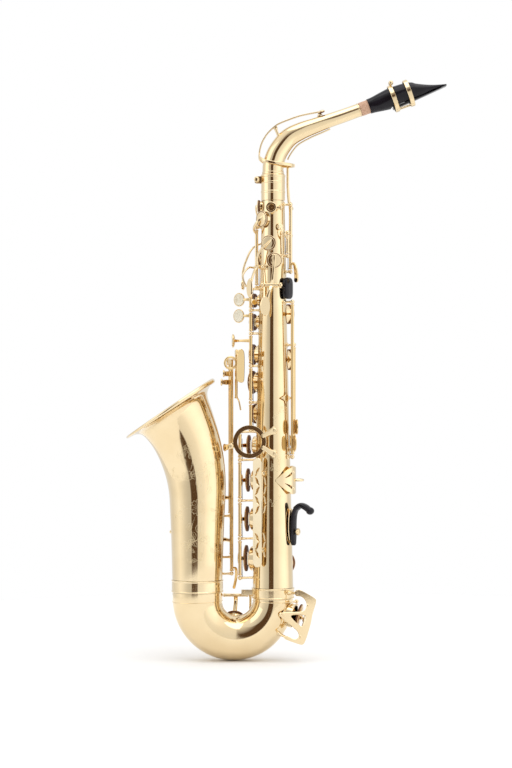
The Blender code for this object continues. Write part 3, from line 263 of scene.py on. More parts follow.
def turned(profile, base, axis, segments=ROUND, closed=False, corner=CORNER):
    """A solid of revolution from (radius, height) pairs along an axis, with its edges eased."""
    axis = Vector(axis).normalized()
    side = axis.orthogonal()
    profile = list(profile)
    if not closed:
        profile = [(0.05, profile[0][1])] + profile + [(0.05, profile[-1][1])]
    rings = [circle(Vector(base) + axis * height, axis, radius, segments, side)
             for radius, height in soften(profile, closed, corner)]
    return skin(rings, closed)


def rod(start, end, radius, segments=ROUND):
    start = Vector(start)
    axis = Vector(end) - start
    return turned(((radius, 0.0), (radius, axis.length)), start, axis, segments)


def tangents(points):
    return [(points[min(i + 1, len(points) - 1)] - points[max(i - 1, 0)]).normalized()
            for i in range(len(points))]


def pipe(points, radii, segments=ROUND, side=Y, per=6):
    """A solid round bar along a smooth path, with domed ends."""
    rows = spline([tuple(p) + (r,) for p, r in zip(points, radii)], per)
    path = [Vector(row[:3]) for row in rows]
    axes = tangents(path)
    rings = [(p, a, row[3]) for p, a, row in zip(path, axes, rows)]
    for end, sign in ((0, -1), (-1, 1)):
        centre, axis, radius = rings[end]
        caps = [(centre + axis * (sign * 0.6 * radius * sin(turn)), axis, radius * cos(turn))
                for turn in (radians(30), radians(58), radians(80))]
        rings = rings + caps if sign > 0 else caps[::-1] + rings
    result = []
    flat = Vector(side)
    for centre, axis, radius in rings:
        flat = (flat - axis * flat.dot(axis)).normalized()
        result.append(circle(centre, axis, radius, segments, flat))
    return skin(result)


def bar(points, width, thickness, across, per=5, square=3.2, count=20):
    """A flat key arm along a smooth path, its edges rolled and its ends rounded; `across` is its width."""
    if not hasattr(width, "__len__"):
        width = [width] * len(points)
    rows = spline([tuple(p) + (w,) for p, w in zip(points, width)], per)
    path = [Vector(row[:3]) for row in rows]
    stations = [(p, a, row[3], 1.0) for p, a, row in zip(path, tangents(path), rows)]
    for end, sign in ((0, -1), (-1, 1)):
        centre, axis, wide, _ = stations[end]
        caps = [(centre + axis * (sign * 0.3 * wide * sin(turn)), axis, wide * cos(turn),
                 1.0 - 0.45 * (1 - cos(turn)))
                for turn in (radians(25), radians(50), radians(70), radians(84))]
        stations = stations + caps if sign > 0 else caps[::-1] + stations
    rings = []
    for centre, axis, wide, thin in stations:
        flat = Vector(across)
        flat = (flat - axis * flat.dot(axis)).normalized()
        up = axis.cross(flat)
        ring_points = []
        for i in range(count):
            turn = 2 * pi * (i + 0.5) / count
            a = copysign(abs(cos(turn)) ** (2 / square), cos(turn)) * wide / 2
            b = copysign(abs(sin(turn)) ** (2 / square), sin(turn)) * thickness * thin / 2
            ring_points.append(centre + flat * a + up * b)
        rings.append(ring_points)
    return skin(rings)


def offset_loop(loop, distance):
    """A closed outline moved inwards by a distance, whichever way round it runs."""
    count = len(loop)
    area = sum(loop[i][0] * loop[(i + 1) % count][1] - loop[(i + 1) % count][0] * loop[i][1]
               for i in range(count))
    turn = 1.0 if area > 0 else -1.0
    moved = []
    for i in range(count):
        before = (Vector(loop[i]) - Vector(loop[i - 1])).normalized()
        after = (Vector(loop[(i + 1) % count]) - Vector(loop[i])).normalized()
        inward = Vector((-(before.y + after.y), before.x + after.x)) * turn
        moved.append(tuple(Vector(loop[i]) + inward.normalized() * distance))
    return moved


def plate(outline, origin, u, v, thickness, holes=(), edge=0.3, dish=0.0):
    """A flat plate with eased edges and holes, given its thickness along u x v."""
    u = Vector(u).normalized()
    v = Vector(v).normalized()
    lift = u.cross(v).normalized()
    mesh = bmesh.new()
    low_edges = []
    high_edges = []
    for number, loop in enumerate([outline] + list(holes)):
        small = offset_loop(loop, edge if number == 0 else -edge)
        rings = []
        for level, shape in ((0.0, small), (edge, loop), (thickness - edge, loop), (thickness, small)):
            rings.append([mesh.verts.new(Vector(origin) + u * a + v * b + lift * level) for a, b in shape])
        count = len(loop)
        for low, high in zip(rings, rings[1:]):
            for i in range(count):
                mesh.faces.new((low[i], low[(i + 1) % count], high[(i + 1) % count], high[i]))
        for ring_verts, bucket in ((rings[0], low_edges), (rings[-1], high_edges)):
            bucket.extend(mesh.edges.get((ring_verts[i], ring_verts[(i + 1) % count])) for i in range(count))
    for bucket in (low_edges, high_edges):
        bmesh.ops.triangle_fill(mesh, use_beauty=True, use_dissolve=False, edges=bucket)
    if dish:
        reach = max(Vector(point).length for point in outline)
        for vert in mesh.verts:
            flat = vert.co - Vector(origin)
            vert.co += lift * (dish * ((flat - lift * flat.dot(lift)).length / reach) ** 2)
    bmesh.ops.recalc_face_normals(mesh, faces=mesh.faces)
    mesh.verts.index_update()
    points = [vert.co.copy() for vert in mesh.verts]
    faces = [tuple(vert.index for vert in face.verts) for face in mesh.faces]
    mesh.free()
    return points, faces


def arc(wide, tall, first, last, step=12, middle=0.0):
    """(across, along) pairs on an ellipse, from one angle in degrees to another."""
    return [(wide * cos(radians(a)), middle + tall * sin(radians(a)))
            for a in range(first, last, step)]


def rounded(outline, per=4):
    """A closed outline drawn smoothly through its points."""
    wrapped = [outline[-1]] + list(outline) + [outline[0], outline[1]]
    return [tuple(row) for row in spline(wrapped, per)[per:-per - 1]]


def ellipse(wide, tall, count=48):
    return [(wide * cos(2 * pi * i / count), tall * sin(2 * pi * i / count))
            for i in range(count)]


def ring(centre, axis, major, minor, segments=72, section=16, flat=1.0):
    """A ring of round section, or flattened along its axis."""
    centre = Vector(centre)
    axis = Vector(axis).normalized()
    rings = []
    for spoke in circle((0, 0, 0), axis, 1.0, segments):
        middle = centre + spoke * major
        rings.append([middle + spoke * (minor * cos(turn)) + axis * (minor * flat * sin(turn))
                      for turn in (2 * pi * i / section for i in range(section))])
    return skin(rings, closed=True)


def screw_head(centre, axis, radius, height=0.9):
    """A slotted screw head, standing on its centre."""
    axis = Vector(axis).normalized()
    side = axis.orthogonal()
    cross = axis.cross(side)
    half = radius * 0.16
    parts = []
    for sign in (-1, 1):
        outline = [(sign * half, -radius * 0.98)]
        outline += [(sign * sqrt(max(radius ** 2 - b ** 2, half ** 2)), b)
                    for b in [radius * 0.98 * sin(radians(a)) for a in range(-80, 81, 16)]]
        outline.append((sign * half, radius * 0.98))
        parts.append(plate(outline, centre, side, cross, height, edge=0.12))
    parts.append(turned(((radius, -0.4), (radius, height * 0.4)), centre, axis, 24, corner=0.1))
    return parts


# ---- making pieces ----

def to_world(point):
    return (Vector(point) - STRAP_RING) * 0.001


def raw_mesh(name, solids):
    points = []
    faces = []
    for solid_points, solid_faces in solids:
        start = len(points)
        points.extend(solid_points)
        faces.extend(tuple(start + i for i in face) for face in solid_faces)
    mesh = bpy.data.meshes.new(name)
    mesh.from_pydata(points, [], faces)
    tidy = bmesh.new()
    tidy.from_mesh(mesh)
    bmesh.ops.recalc_face_normals(tidy, faces=tidy.faces)
    tidy.to_mesh(mesh)
    tidy.free()
    return mesh


def combine(base, solids, operation):
    helpers = bpy.data.collections.new(base.name + operation)
    bpy.context.scene.collection.children.link(helpers)
    for solid in solids:
        helpers.objects.link(bpy.data.objects.new("helper", raw_mesh("helper", [solid])))
    modifier = base.modifiers.new(operation, "BOOLEAN")
    modifier.operation = operation
    modifier.solver = "EXACT"
    modifier.operand_type = "COLLECTION"
    modifier.collection = helpers
    made = bpy.data.meshes.new_from_object(base.evaluated_get(bpy.context.evaluated_depsgraph_get()))
    base.modifiers.clear()
    base.data = made
    for helper in list(helpers.objects):
        bpy.data.objects.remove(helper, do_unlink=True)
    bpy.data.collections.remove(helpers)


def piece(name, solids, kind, body, cuts=(), united=(), loose=(), pivot=None, opening=0.0):
    """One shown piece. `united` and `cuts` are worked into the first solids, `loose` is added as it is."""
    base = bpy.data.objects.new(name, raw_mesh(name, solids))
    bpy.context.scene.collection.objects.link(base)
    if united:
        combine(base, united, "UNION")
    if cuts:
        combine(base, cuts, "DIFFERENCE")
    mesh = bmesh.new()
    mesh.from_mesh(base.data)
    if loose:
        mesh.from_mesh(raw_mesh("loose", loose))
    bmesh.ops.remove_doubles(mesh, verts=mesh.verts, dist=0.001)
    turn = Matrix.Rotation(radians(opening), 4, "Z")
    centre = Vector(pivot) if pivot is not None else Vector((0, 0, 0))
    for vert in mesh.verts:
        vert.co = to_world(turn @ (vert.co - centre) + centre)
    mesh.to_mesh(base.data)
    mesh.free()
    base.data.name = name
    base.data.shade_smooth()
    base.data.set_sharp_from_angle(angle=radians(SHARP_FROM))
    base.data.materials.clear()
    base.data.materials.append(MATERIALS[kind])
    weigh = base.modifiers.new("flat_faces_lead", "WEIGHTED_NORMAL")
    weigh.keep_sharp = True
    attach(base, body)
    return base


def node(name, solids, kind="lacquer", **more):
    """The shown piece that stands for a CAD node."""
    made = piece(name + "_look", solids, kind, BODY_OF[name], **more)
    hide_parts(name)
    return made


# ---- the layout, in millimetres ----

STRAP_RING = Vector((30.0, 0.0, 210.6))
BODY_TOP = 537.0
BODY_FOOT = 85.3
WALL = 1.2
BOW_RADIUS = 44.2
BOW_CENTRE = Vector((-44.2, 0, 70.2))
BOW_TOPS = (72.3, 79.6)
BOW_TUBE_RADII = (23.6, 26.0, 29.3)
BELL_X = -88.4
BELL_FOOT = 94.6
BELL_BEND_FROM = 189.5
BELL_BEND_RADIUS = 189.0
BELL_TILT = radians(33.6)
# (distance from the rim along the axis, outer radius)
BELL_PROFILE = ((0, 61.8), (1.6, 57.0), (4.5, 49.5), (9, 44.8), (19, 42.0), (36, 39.3),
                (70, 36.0), (105, 33.1), (150, 31.0), (206, 29.4))
BELL_LENGTH = BELL_BEND_RADIUS * BELL_TILT + BELL_BEND_FROM - BELL_FOOT
BELL_HOLES = ((138.0, 16.2, 19.6), (188.0, 16.8, 20.4))
BELL_CHIMNEY_TOP = 35.0
RIM_BEAD = 2.2
POST_BALL = 2.45
POST_FLANGE = 3.2
PAD_GAP = 0.4
CUP_THICK = 4.4
SMALL_CUP_THICK = 3.4
GAP = 0.3           # left between separate solids, as in the CAD
OPEN = 14.0
TABLE_OPEN = 8.8

# (x, y) of each upright hinge rod
UPPER_ROD = (-26.0, -7.0)
LOWER_ROD = (-38.6, -10.5)
OCTAVE_ROD = (20.5, -3.0)
BODY_OCTAVE_ROD = (17.0, -12.5)
SIDE_C_ROD = (22.5, -11.5)
SIDE_BB_ROD = (24.5, -5.0)
HIGH_E_ROD = (4.0, 25.0)
PALM_F_ROD = (-19.2, 4.8)
FRONT_F_ROD = (-8.0, 18.0)
EB_ROD = (4.0, 34.5)
LOW_C_LEVER_ROD = (-6.0, 36.5)
LOW_C_ROD = (28.0, 21.0)
BB_ROD = (-50.5, 27.5)
B_ROD = (-49.0, 20.5)
CS_ROD = (-48.5, 13.5)
GS_LEVER_ROD = (-43.0, 6.0)

# name: (angle round the body, height, hole radius, cup radius), angle 0 faces -Y and -90 faces -X
TONE_HOLES = {
    "front_F": (-95, 531.0, 4.6, 7.4),
    "palm_F": (-50, 515.0, 6.6, 9.6),
    "palm_Eb": (-17, 486.7, 6.4, 9.2),
    "palm_D": (4, 466.5, 6.4, 9.2),
    "high_E": (-145, 470.0, 6.8, 9.8),
    "C": (-125, 421.0, 5.6, 8.5),
    "B": (-125, 395.5, 7.0, 10.0),
    "A": (-125, 357.5, 9.2, 12.3),
    "G": (-125, 325.0, 10.6, 13.8),
    "G_sharp": (-125, 288.0, 8.8, 11.8),
    "F_sharp": (-110, 250.8, 9.4, 12.4),
    "F": (-110, 210.0, 11.0, 14.0),
    "E": (-110, 164.4, 12.0, 15.0),
    "D": (-110, 118.2, 12.6, 15.6),
    "low_Eb": (150, 112.0, 11.0, 13.8),
    "side_C": (120, 405.0, 8.6, 11.8),
    "side_Bb": (120, 351.5, 9.2, 12.4),
}
SMALL_HOLES = ("front_F", "palm_F", "palm_Eb", "palm_D", "high_E")

UPPER_POSTS = (433.6, 409.0, 381.8, 344.0, 301.4, 269.6)
LOWER_POSTS = (267.2, 234.4, 187.0, 142.8, 97.0)
BODY_POSTS = (
    [UPPER_ROD + (z,) for z in UPPER_POSTS]
    + [LOWER_ROD + (z,) for z in LOWER_POSTS]
    + [OCTAVE_ROD + (z,) for z in (532.5, 454.0)]
    + [BODY_OCTAVE_ROD + (z,) for z in (472.0, 499.0)]
    + [SIDE_C_ROD + (z,) for z in (418.5, 238.0)]
    + [SIDE_BB_ROD + (z,) for z in (368.5, 246.0)]
    + [HIGH_E_ROD + (z,) for z in (487.0, 242.0)]
    + [PALM_F_ROD + (z,) for z in (506.5, 436.0)]
    + [FRONT_F_ROD + (z,) for z in (519.0, 484.0)]
    + [EB_ROD + (z,) for z in (92.0, 190.0)]
    + [LOW_C_LEVER_ROD + (z,) for z in (98.0, 196.0)]
)
BELL_POSTS = (BB_ROD + (167.0,), B_ROD + (119.0,), CS_ROD + (100.0,))

NECK_PATH = ((0, 576.0, 12.3), (1.2, 583.0, 12.2), (6.2, 595.5, 11.8), (17.9, 610.5, 11.2),
             (32.8, 618.9, 10.2), (49.0, 625.0, 9.1), (65.3, 630.9, 8.2), (84.2, 637.4, 7.9),
             (101.5, 643.7, 7.7))
NECK_END = Vector((101.5, 0, 643.7))
NECK_AXIS = Vector((cos(radians(20)), 0, sin(radians(20))))
NECK_HINGE = Vector((3.0, 0, 622.5))
NECK_PIP = Vector((57.9, 0, 628.5))
NECK_PIP_OUT = Vector((-0.34, 0, 0.94))
NECK_PAD = Vector((56.6, 0, 640.3))
RECEIVER_SCREW = Vector((-19.0, -5.4, 561.6))
MOUTH_UP = Vector((-NECK_AXIS.z, 0, NECK_AXIS.x))
MOUTH_START = NECK_END + NECK_AXIS * 12.5
# (x, top z, bottom z, half width) along the mouthpiece, from its shank to its tip
MOUTHPIECE = ((-1.0, 8.8, -8.8, 8.8), (5.0, 9.2, -9.4, 9.3), (14.0, 10.6, -10.8, 10.4),
              (24.0, 12.0, -12.0, 11.3), (31.0, 12.4, -11.8, 11.6), (46.0, 11.6, -11.2, 11.4),
              (55.0, 9.6, -10.8, 10.8), (60.0, 6.2, -10.4, 10.3), (75.0, -0.8, -9.2, 9.4),
              (92.2, -6.6, -7.8, 8.2))
LIGATURE_SCREW = MOUTH_START + NECK_AXIS * 32.0 + MOUTH_UP * 16.7
HOOK_ANGLE = 63
HOOK_THICK = 5.0
HOOK_PLATE_AT = 22.95
HOOK_AT = HOOK_PLATE_AT + 1.0 + GAP + HOOK_THICK / 2
HOOK_SCREW_AT = HOOK_AT + HOOK_THICK / 2 + GAP
GUARD_FRONT = ((24.6, 81.9), (29.3, 84.8), (36.3, 81.9), (48.0, 74.9), (49.7, 70.2), (45.6, 56.2),
               (43.3, 44.5), (37.4, 25.7), (33.9, 21.1), (28.1, 22.2), (15.2, 26.9), (12.0, 30.2),
               (16.4, 31.0), (24.0, 27.6), (28.6, 28.8), (29.4, 33.4), (26.4, 38.2), (18.8, 44.6),
               (9.0, 52.8), (8.4, 56.6), (12.4, 58.4), (32.8, 59.4), (37.2, 62.4), (38.6, 67.0), (36.8, 73.0),
               (31.8, 76.8), (26.6, 77.4))
GUARD_TRIANGLE = ((20.6, 54.4), (37.0, 54.8), (36.4, 48.0), (32.2, 42.6))
GUARD_FRONT_Y = -25.0
GUARD_THICK = 1.6


def body_radius(height):
    return 12.9 + (BODY_TOP - height) * 0.02394


def outward(angle):
    turn = radians(angle)
    return Vector((sin(turn), -cos(turn), 0.0))


def around(angle, distance, height):
    return outward(angle) * distance + Vector((0, 0, height))


def chimney_height(name):
    return 2.0 if name in SMALL_HOLES else 3.0


def cup_place(name):
    """The middle of a closed pad's face, just above the rim of its tone hole, and the way it faces out."""
    angle, height, _, _ = TONE_HOLES[name]
    return around(angle, body_radius(height) + chimney_height(name) + PAD_GAP, height), outward(angle)


def bow_point(angle):
    """A point on the bow's centre line: 0 degrees is the body side, 180 the bell side."""
    turn = radians(angle)
    return BOW_CENTRE + Vector((cos(turn), 0, -sin(turn))) * BOW_RADIUS


def bow_radius(angle):
    body_side, bottom, bell_side = BOW_TUBE_RADII
    if angle <= 90:
        return body_side + (bottom - body_side) * angle / 90
    return bottom + (bell_side - bottom) * (angle - 90) / 90


VENT_ANGLE, VENT_HEIGHT = 28, 506.0
LOW_C_ANGLE, LOW_C_CHIMNEY = 15, 4.0
LOW_C_OUT = Vector((0.93, -0.28, -0.24)).normalized()
LOW_C_CENTRE = bow_point(LOW_C_ANGLE)
LOW_CS_ANGLE, LOW_CS_CHIMNEY = 92, 4.2
LOW_CS_OUT = Vector((0.0, cos(radians(35)), sin(radians(35))))
LOW_CS_CENTRE = bow_point(LOW_CS_ANGLE)
PALM_EB_PIVOT = around(-58, 21.0, 459.0)
PALM_EB_AXIS = outward(32)


def bell_axis(from_rim):
    """The point on the bell's axis at a distance from the rim, and the axis direction there."""
    from_bend = BELL_BEND_RADIUS * BELL_TILT - from_rim
    if from_bend <= 0:
        return Vector((BELL_X, 0, BELL_BEND_FROM + from_bend)), Vector(Z)
    turn = from_bend / BELL_BEND_RADIUS
    point = Vector((BELL_X - BELL_BEND_RADIUS * (1 - cos(turn)), 0,
                    BELL_BEND_FROM + BELL_BEND_RADIUS * sin(turn)))
    return point, Vector((-sin(turn), 0, cos(turn)))


def bell_radius(from_rim):
    """The outer radius, smoothly through the profile's stations."""
    stations = [BELL_PROFILE[0]] + list(BELL_PROFILE) + [BELL_PROFILE[-1]]
    for i in range(1, len(stations) - 2):
        (d0, r0), (d1, r1), (d2, r2), (d3, r3) = stations[i - 1:i + 3]
        if from_rim <= d2:
            t = (from_rim - d1) / (d2 - d1)
            before = (r2 - r0) / (d2 - d0) * (d2 - d1)
            after = (r3 - r1) / (d3 - d1) * (d2 - d1)
            return (r1 * (2 * t ** 3 - 3 * t ** 2 + 1) + before * (t ** 3 - 2 * t ** 2 + t)
                    + r2 * (3 * t ** 2 - 2 * t ** 3) + after * (t ** 3 - t ** 2))
    return BELL_PROFILE[-1][1]


# ---- parts that repeat ----

PIVOT_SCREWS = []
NEEDLES = []


def ball_post(base, out, foot, reach):
    """A post on a round flange, with a ball top at `reach` that carries a rod."""
    flange = POST_FLANGE
    profile = [(flange, foot), (flange, foot + 0.7), (flange * 0.55, foot + 1.5), (1.35, foot + 2.6),
               (1.25, (foot + reach) / 2), (1.45, reach - 3.1), (1.9, reach - 2.5), (1.45, reach - 2.0)]
    profile += arc(POST_BALL, POST_BALL, -48, 80, middle=reach)
    return turned(profile, base, out, 24, corner=0.25)


def chimney(centre, out, hole, foot, top, drill, segments, bead, drop=0.35):
    """The raised wall of a tone hole, the bore through it, and the bead on its rim."""
    wall = hole + 1.25
    return (turned(((wall, foot), (wall, top), (hole, top), (hole, foot)), centre, out, segments, closed=True,
                   corner=0.01),
            turned(((hole, drill[0]), (hole, drill[1])), centre, out, segments, corner=0.01),
            ring(centre + out * (top - drop), out, hole + 1.3, bead, segments, 8))


def body_post(x, y, height):
    out = Vector((x, y, 0.0))
    return ball_post((0, 0, height), out, body_radius(height) - 0.5, out.length)


def pivots(rod_at, low, high, needle):
    """The two slotted pivot screws in the posts beyond the ends of an upright rod, and its needle spring."""
    x, y = rod_at
    for height, way in ((low - 4.6, -1), (high + 4.6, 1)):
        PIVOT_SCREWS.extend(screw_head((x, y, height), (0, 0, way), 1.25, 0.7))
    inward = Vector((-x, -y, 0)).normalized()
    side = Vector(Z).cross(inward)
    start = Vector((x, y, low - 2.0)) + inward * 3.0
    NEEDLES.append(pipe([start, start + side * 0.4 + Vector((0, 0, needle / 2)),
                         start + side * 1.2 + Vector((0, 0, needle))],
                        [0.42, 0.36, 0.28], 8, side=X, per=3))


def hinge_tube(rod_at, low, high, radius=1.9):
    """A hinge tube with a turned collar at each end."""
    x, y = rod_at
    collar = radius + 0.35
    profile = ((radius, low), (collar, low + 0.1), (collar, low + 1.7), (radius, low + 2.0),
               (radius, high - 2.0), (collar, high - 1.7), (collar, high - 0.1), (radius, high))
    return turned(profile, (x, y, 0), Z, 24, corner=0.2)


def hung_tube(rod_at, low, high, radius=1.9, needle=24.0):
    """A hinge tube, with the pivot screws of the posts that it hangs between and its needle spring."""
    pivots(rod_at, low, high, needle)
    return hinge_tube(rod_at, low, high, radius)


def cross_tube(pivot, axis, radius, collar, ends):
    """A hinge tube centred on its pivot, collared at each end; `ends` are its steps out from the middle."""
    half = list(zip((radius, collar, collar, radius), ends))
    return turned([(r, -h) for r, h in half] + half[::-1], pivot, axis, 28, corner=0.2)


def cup_shell(base, out, radius, thickness=CUP_THICK):
    """A pad cup: a thin rolled brim, a domed back with a raised step, and a recess for the pad."""
    t = thickness
    brim = t * 0.48
    profile = ((radius - 0.7, brim + 0.4), (radius - 0.7, brim), (radius, brim), (radius, t * 0.6),
               (radius * 0.97, t * 0.68), (radius * 0.88, t * 0.75), (radius * 0.80, t * 0.79),
               (radius * 0.78, t * 0.87), (radius * 0.55, t * 0.95), (radius * 0.25, t))
    return turned(profile, base, out, 48, corner=0.3)


def pad(name, base, out, radius, body, pivot=None, opening=0.0, thick=CUP_THICK):
    """The leather pad in a cup, with its stitched-down crown, and the domed resonator on it."""
    face = -PAD_GAP + 0.06
    profile = ((radius - 0.75, 2.6), (radius - 0.25, 2.0), (radius - 0.2, 0.5), (radius - 0.7, -0.1),
               (radius - 1.7, face), (radius * 0.62, face), (radius * 0.52, face + 0.12))
    place = {"pivot": pivot, "opening": opening}
    # every cup but the palm and front F cups takes the darker cup brass, a painted dark reflection
    kind = "lacquer" if name.startswith(("palm", "front")) else "deep"
    piece("cup_" + name, [cup_shell(base, out, radius, thick)], kind, body, **place)
    piece("pad_" + name, [turned(profile, base, out, 48, corner=0.2)], "leather", body, **place)
    dome = ((radius * 0.5, face + 0.14), (radius * 0.49, face - 0.12), (radius * 0.42, face - 0.3),
            (radius * 0.22, face - 0.5), (radius * 0.08, face - 0.7))
    piece("resonator_" + name, [turned(dome, base, out, 36, corner=0.15)], "lacquer", body, **place)


def touch_dish(place, facing, radius):
    """The rimmed seat of a pearl."""
    r = radius
    return turned(((r * 0.6, -1.4), (r * 0.86, -0.7), (r, 0.3), (r, 1.5), (r - 0.7, 1.5), (r - 0.75, 0.6)),
                  place, facing, 40, corner=0.25)


def pearl(name, place, facing, radius, body, pivot, opening):
    """A mother-of-pearl button, slightly hollowed for the fingertip."""
    r = radius - 0.85
    profile = ((r, 0.5), (r, 1.6), (r - 0.6, 2.2), (r * 0.6, 1.95), (r * 0.25, 1.85))
    piece("pearl_" + name, [turned(profile, place, facing, 40, corner=0.3)], "pearl", body, pivot=pivot,
          opening=opening)


# ---- fixed pieces ----

def body_tube():
    count = 76
    heights = [BODY_FOOT + (BODY_TOP - BODY_FOOT) * i / count for i in range(count + 1)]
    outer = [circle((0, 0, z), Z, body_radius(z), 96, Y) for z in heights]
    inner = [circle((0, 0, z), Z, body_radius(z) - WALL, 96, Y) for z in heights]
    parts = []
    for name, (angle, height, hole, _) in TONE_HOLES.items():
        out = outward(angle)
        top = body_radius(height) + chimney_height(name)
        wall = body_radius(height) - WALL * 0.6
        sag = hole ** 2 / (2 * body_radius(height))
        foot = max(wall - sag, 2.0)
        parts.append(chimney(Vector((0, 0, height)), out, hole, foot, top, (1.0, top + 2.5), 48, 0.4))
    def vent(first, last, radius, segments):
        return rod(around(VENT_ANGLE, first, VENT_HEIGHT), around(VENT_ANGLE, last, VENT_HEIGHT), radius,
                   segments)

    united, cuts, rims = (list(group) for group in zip(*parts))
    united.append(vent(12.4, body_radius(VENT_HEIGHT) + 2.0, 2.6, 24))
    cuts.append(vent(4, 20, 1.0, 16))
    loose = rims + [body_post(*spot) for spot in BODY_POSTS]
    for x, z in ((-12.6, 437.8), (8.6, 437.8)):
        loose.append(ball_post((x, 0, z), (0, -1, 0), 9.8 if x < 0 else 12.4, 21.0))
    for side in (-1, 1):
        tip = PALM_EB_PIVOT + PALM_EB_AXIS * (side * 8.6)
        loose.append(ball_post((0, 0, tip.z), (tip.x, tip.y, 0), 14.2, 20.9))
    node("body_tube", [skin(outer + inner[::-1], closed=True)], united=united, cuts=cuts, loose=loose)


def post_ribs():
    """The long curved straps soldered to the body, which the stack posts stand on."""
    ribs = []
    for angle, low, high in ((-74.9, 262.0, 440.0), (-72.0, 90.0, 258.0), (96.0, 448.0, 536.0),
                             (170.5, 236.0, 492.0)):
        rings = []
        steps = 24
        for i in range(steps + 1):
            z = low + (high - low) * i / steps
            half = 3.6 if 0 < i < steps else 2.4
            reach = body_radius(z)
            spread = degrees(half / reach)
            turns = [angle + spread * (k / 4 - 1) for k in range(9)]
            outer = [around(a, reach + (0.55 if 0 < k < 8 else 0.15), z) for k, a in enumerate(turns)]
            inner = [around(a, reach - 0.4, z) for a in reversed(turns)]
            rings.append(outer + inner)
        ribs.append(skin(rings))
    piece("post_ribs", ribs, "gold", "root")


def side_key_guide():
    """A four-pointed plate on the body under the side key rods."""
    outline = [(0, 11.6), (1.6, 4.4), (4.2, 2.6), (9.6, 0), (4.2, -2.6), (1.6, -4.4), (0, -11.6),
               (-1.6, -4.4), (-4.2, -2.6), (-9.6, 0), (-4.2, 2.6), (-1.6, 4.4)]
    out = outward(51)
    foot = around(51, 18.0, 306.5)
    piece("side_key_guide", [plate(rounded(outline, 3), foot + out * 1.2, outward(141), Z, 1.2, edge=0.3),
                             turned(((3.2, 0), (3.2, 1.3)), foot, out, 28)], "lacquer", "root")


def neck_receiver():
    low = BODY_TOP + GAP
    profile = ((13.9, low), (13.9, 546.0), (14.3, 546.5), (14.3, 548.3), (13.9, 548.8), (13.9, 557.4),
               (14.25, 557.9), (14.25, 559.2), (13.95, 559.7), (13.95, 564.6), (14.4, 565.0), (14.4, 567.0),
               (13.8, 567.8), (12.3, 567.8), (12.3, low))
    lugs = [plate([(-21.4, -3.0), (-19.6, -3.8), (-13.0, -4.2), (-13.0, 4.2), (-19.6, 3.8), (-21.4, 3.0)],
                  (0, y + 1.1, 561.6), X, Z, 2.2, edge=0.4) for y in (-3.4, 3.4)]
    slot_cut = plate([(-24, -8), (-8, -8), (-8, 8), (-24, 8)], (0, 0.9, 561.6), X, Z, 1.8, edge=0.01)
    level = RECEIVER_SCREW.z
    screw_hole = rod((RECEIVER_SCREW.x, -20, level), (RECEIVER_SCREW.x, 20, level), 1.5, 20)
    node("neck_receiver", [turned(profile, (0, 0, 0), Z, 96, closed=True, corner=0.25)], united=lugs,
         cuts=[slot_cut, screw_hole])


def thumb_screw(name, head, axis, shaft, reach, back, radius, height):
    """A small screw with a knurled, waisted head."""
    axis = Vector(axis).normalized()
    solids = [turned(((shaft, -back), (shaft, reach)), head, axis, 20, corner=0.2),
              turned(((radius * 0.7, 0), (radius * 0.94, height * 0.18), (radius * 0.94, height * 0.7),
                      (radius * 0.72, height * 0.9), (radius * 0.3, height)), head, axis, 36)]
    side = axis.orthogonal().normalized()
    for i in range(18):
        spoke = Matrix.Rotation(2 * pi * i / 18, 3, axis) @ side
        start = Vector(head) + spoke * (radius * 0.93) + axis * (height * 0.24)
        solids.append(pipe([start, start + axis * (height * 0.42)], [radius * 0.075] * 2, 6, side=spoke,
                           per=1))
    node(name, solids, pivot=head)


def bow():
    steps = 60
    angles = [180 * i / steps for i in range(steps + 1)]
    stations = [(Vector((0, 0, BOW_TOPS[0])), Vector((0, 0, -1)), BOW_TUBE_RADII[0])]
    for a in angles:
        turn = radians(a)
        stations.append((bow_point(a), Vector((-sin(turn), 0, -cos(turn))), bow_radius(a)))
    stations.append((Vector((BELL_X, 0, BOW_TOPS[1])), Vector(Z), BOW_TUBE_RADII[2]))
    outer = [circle(p, a, r, 96, Y) for p, a, r in stations]
    inner = [circle(p, a, r - WALL, 96, Y) for p, a, r in stations]
    parts = []
    for centre, out, angle, hole, tall in ((LOW_C_CENTRE, LOW_C_OUT, LOW_C_ANGLE, 12.6, LOW_C_CHIMNEY),
                                           (LOW_CS_CENTRE, LOW_CS_OUT, LOW_CS_ANGLE, 10.4, LOW_CS_CHIMNEY)):
        top = bow_radius(angle) + tall
        foot = bow_radius(angle) - 4.4
        parts.append(chimney(centre, out, hole, foot, top, (8.0, top + 3.0), 56, 0.42))
    united, cuts, loose = (list(group) for group in zip(*parts))
    for x in (-61.5, -26.5):
        loose.append(pipe([(x, 13, 48), (x, 22, 57), (x, 30, 66), (x, 33.4, 70.8)], [2.6, 1.8, 1.5, 1.7], 20,
                          side=X))
        loose.append(turned(arc(POST_BALL, POST_BALL, -78, 79), (x, 34.5, 72.5), (0, 0.6, 0.8), 24,
                            corner=0.1))
        PIVOT_SCREWS.extend(screw_head((x + copysign(2.1, x + 44.0), 34.5, 72.5),
                                       (copysign(1, x + 44.0), 0, 0), 1.25, 0.7))
    for z in (44.0, 66.5):
        loose.append(pipe([(6, 14, z), (15, 16.8, z), (24, 19, z), LOW_C_ROD + (z,)], [2.6, 1.8, 1.5, 1.6],
                          20, side=Z))
        loose.append(turned(arc(POST_BALL, POST_BALL, -78, 79), LOW_C_ROD + (z,), (1, 0.5, 0), 24,
                            corner=0.1))
    node("bow", [skin(outer + inner[::-1], closed=True)], united=united, cuts=cuts, loose=loose)
    bead = [ring(bow_point(a), (-sin(radians(a)), 0, -cos(radians(a))), bow_radius(a) + 0.1, 0.45,
                 96, 8) for a in (1.5, 178.5)]
    piece("bow_beads", bead, "lacquer", "root")


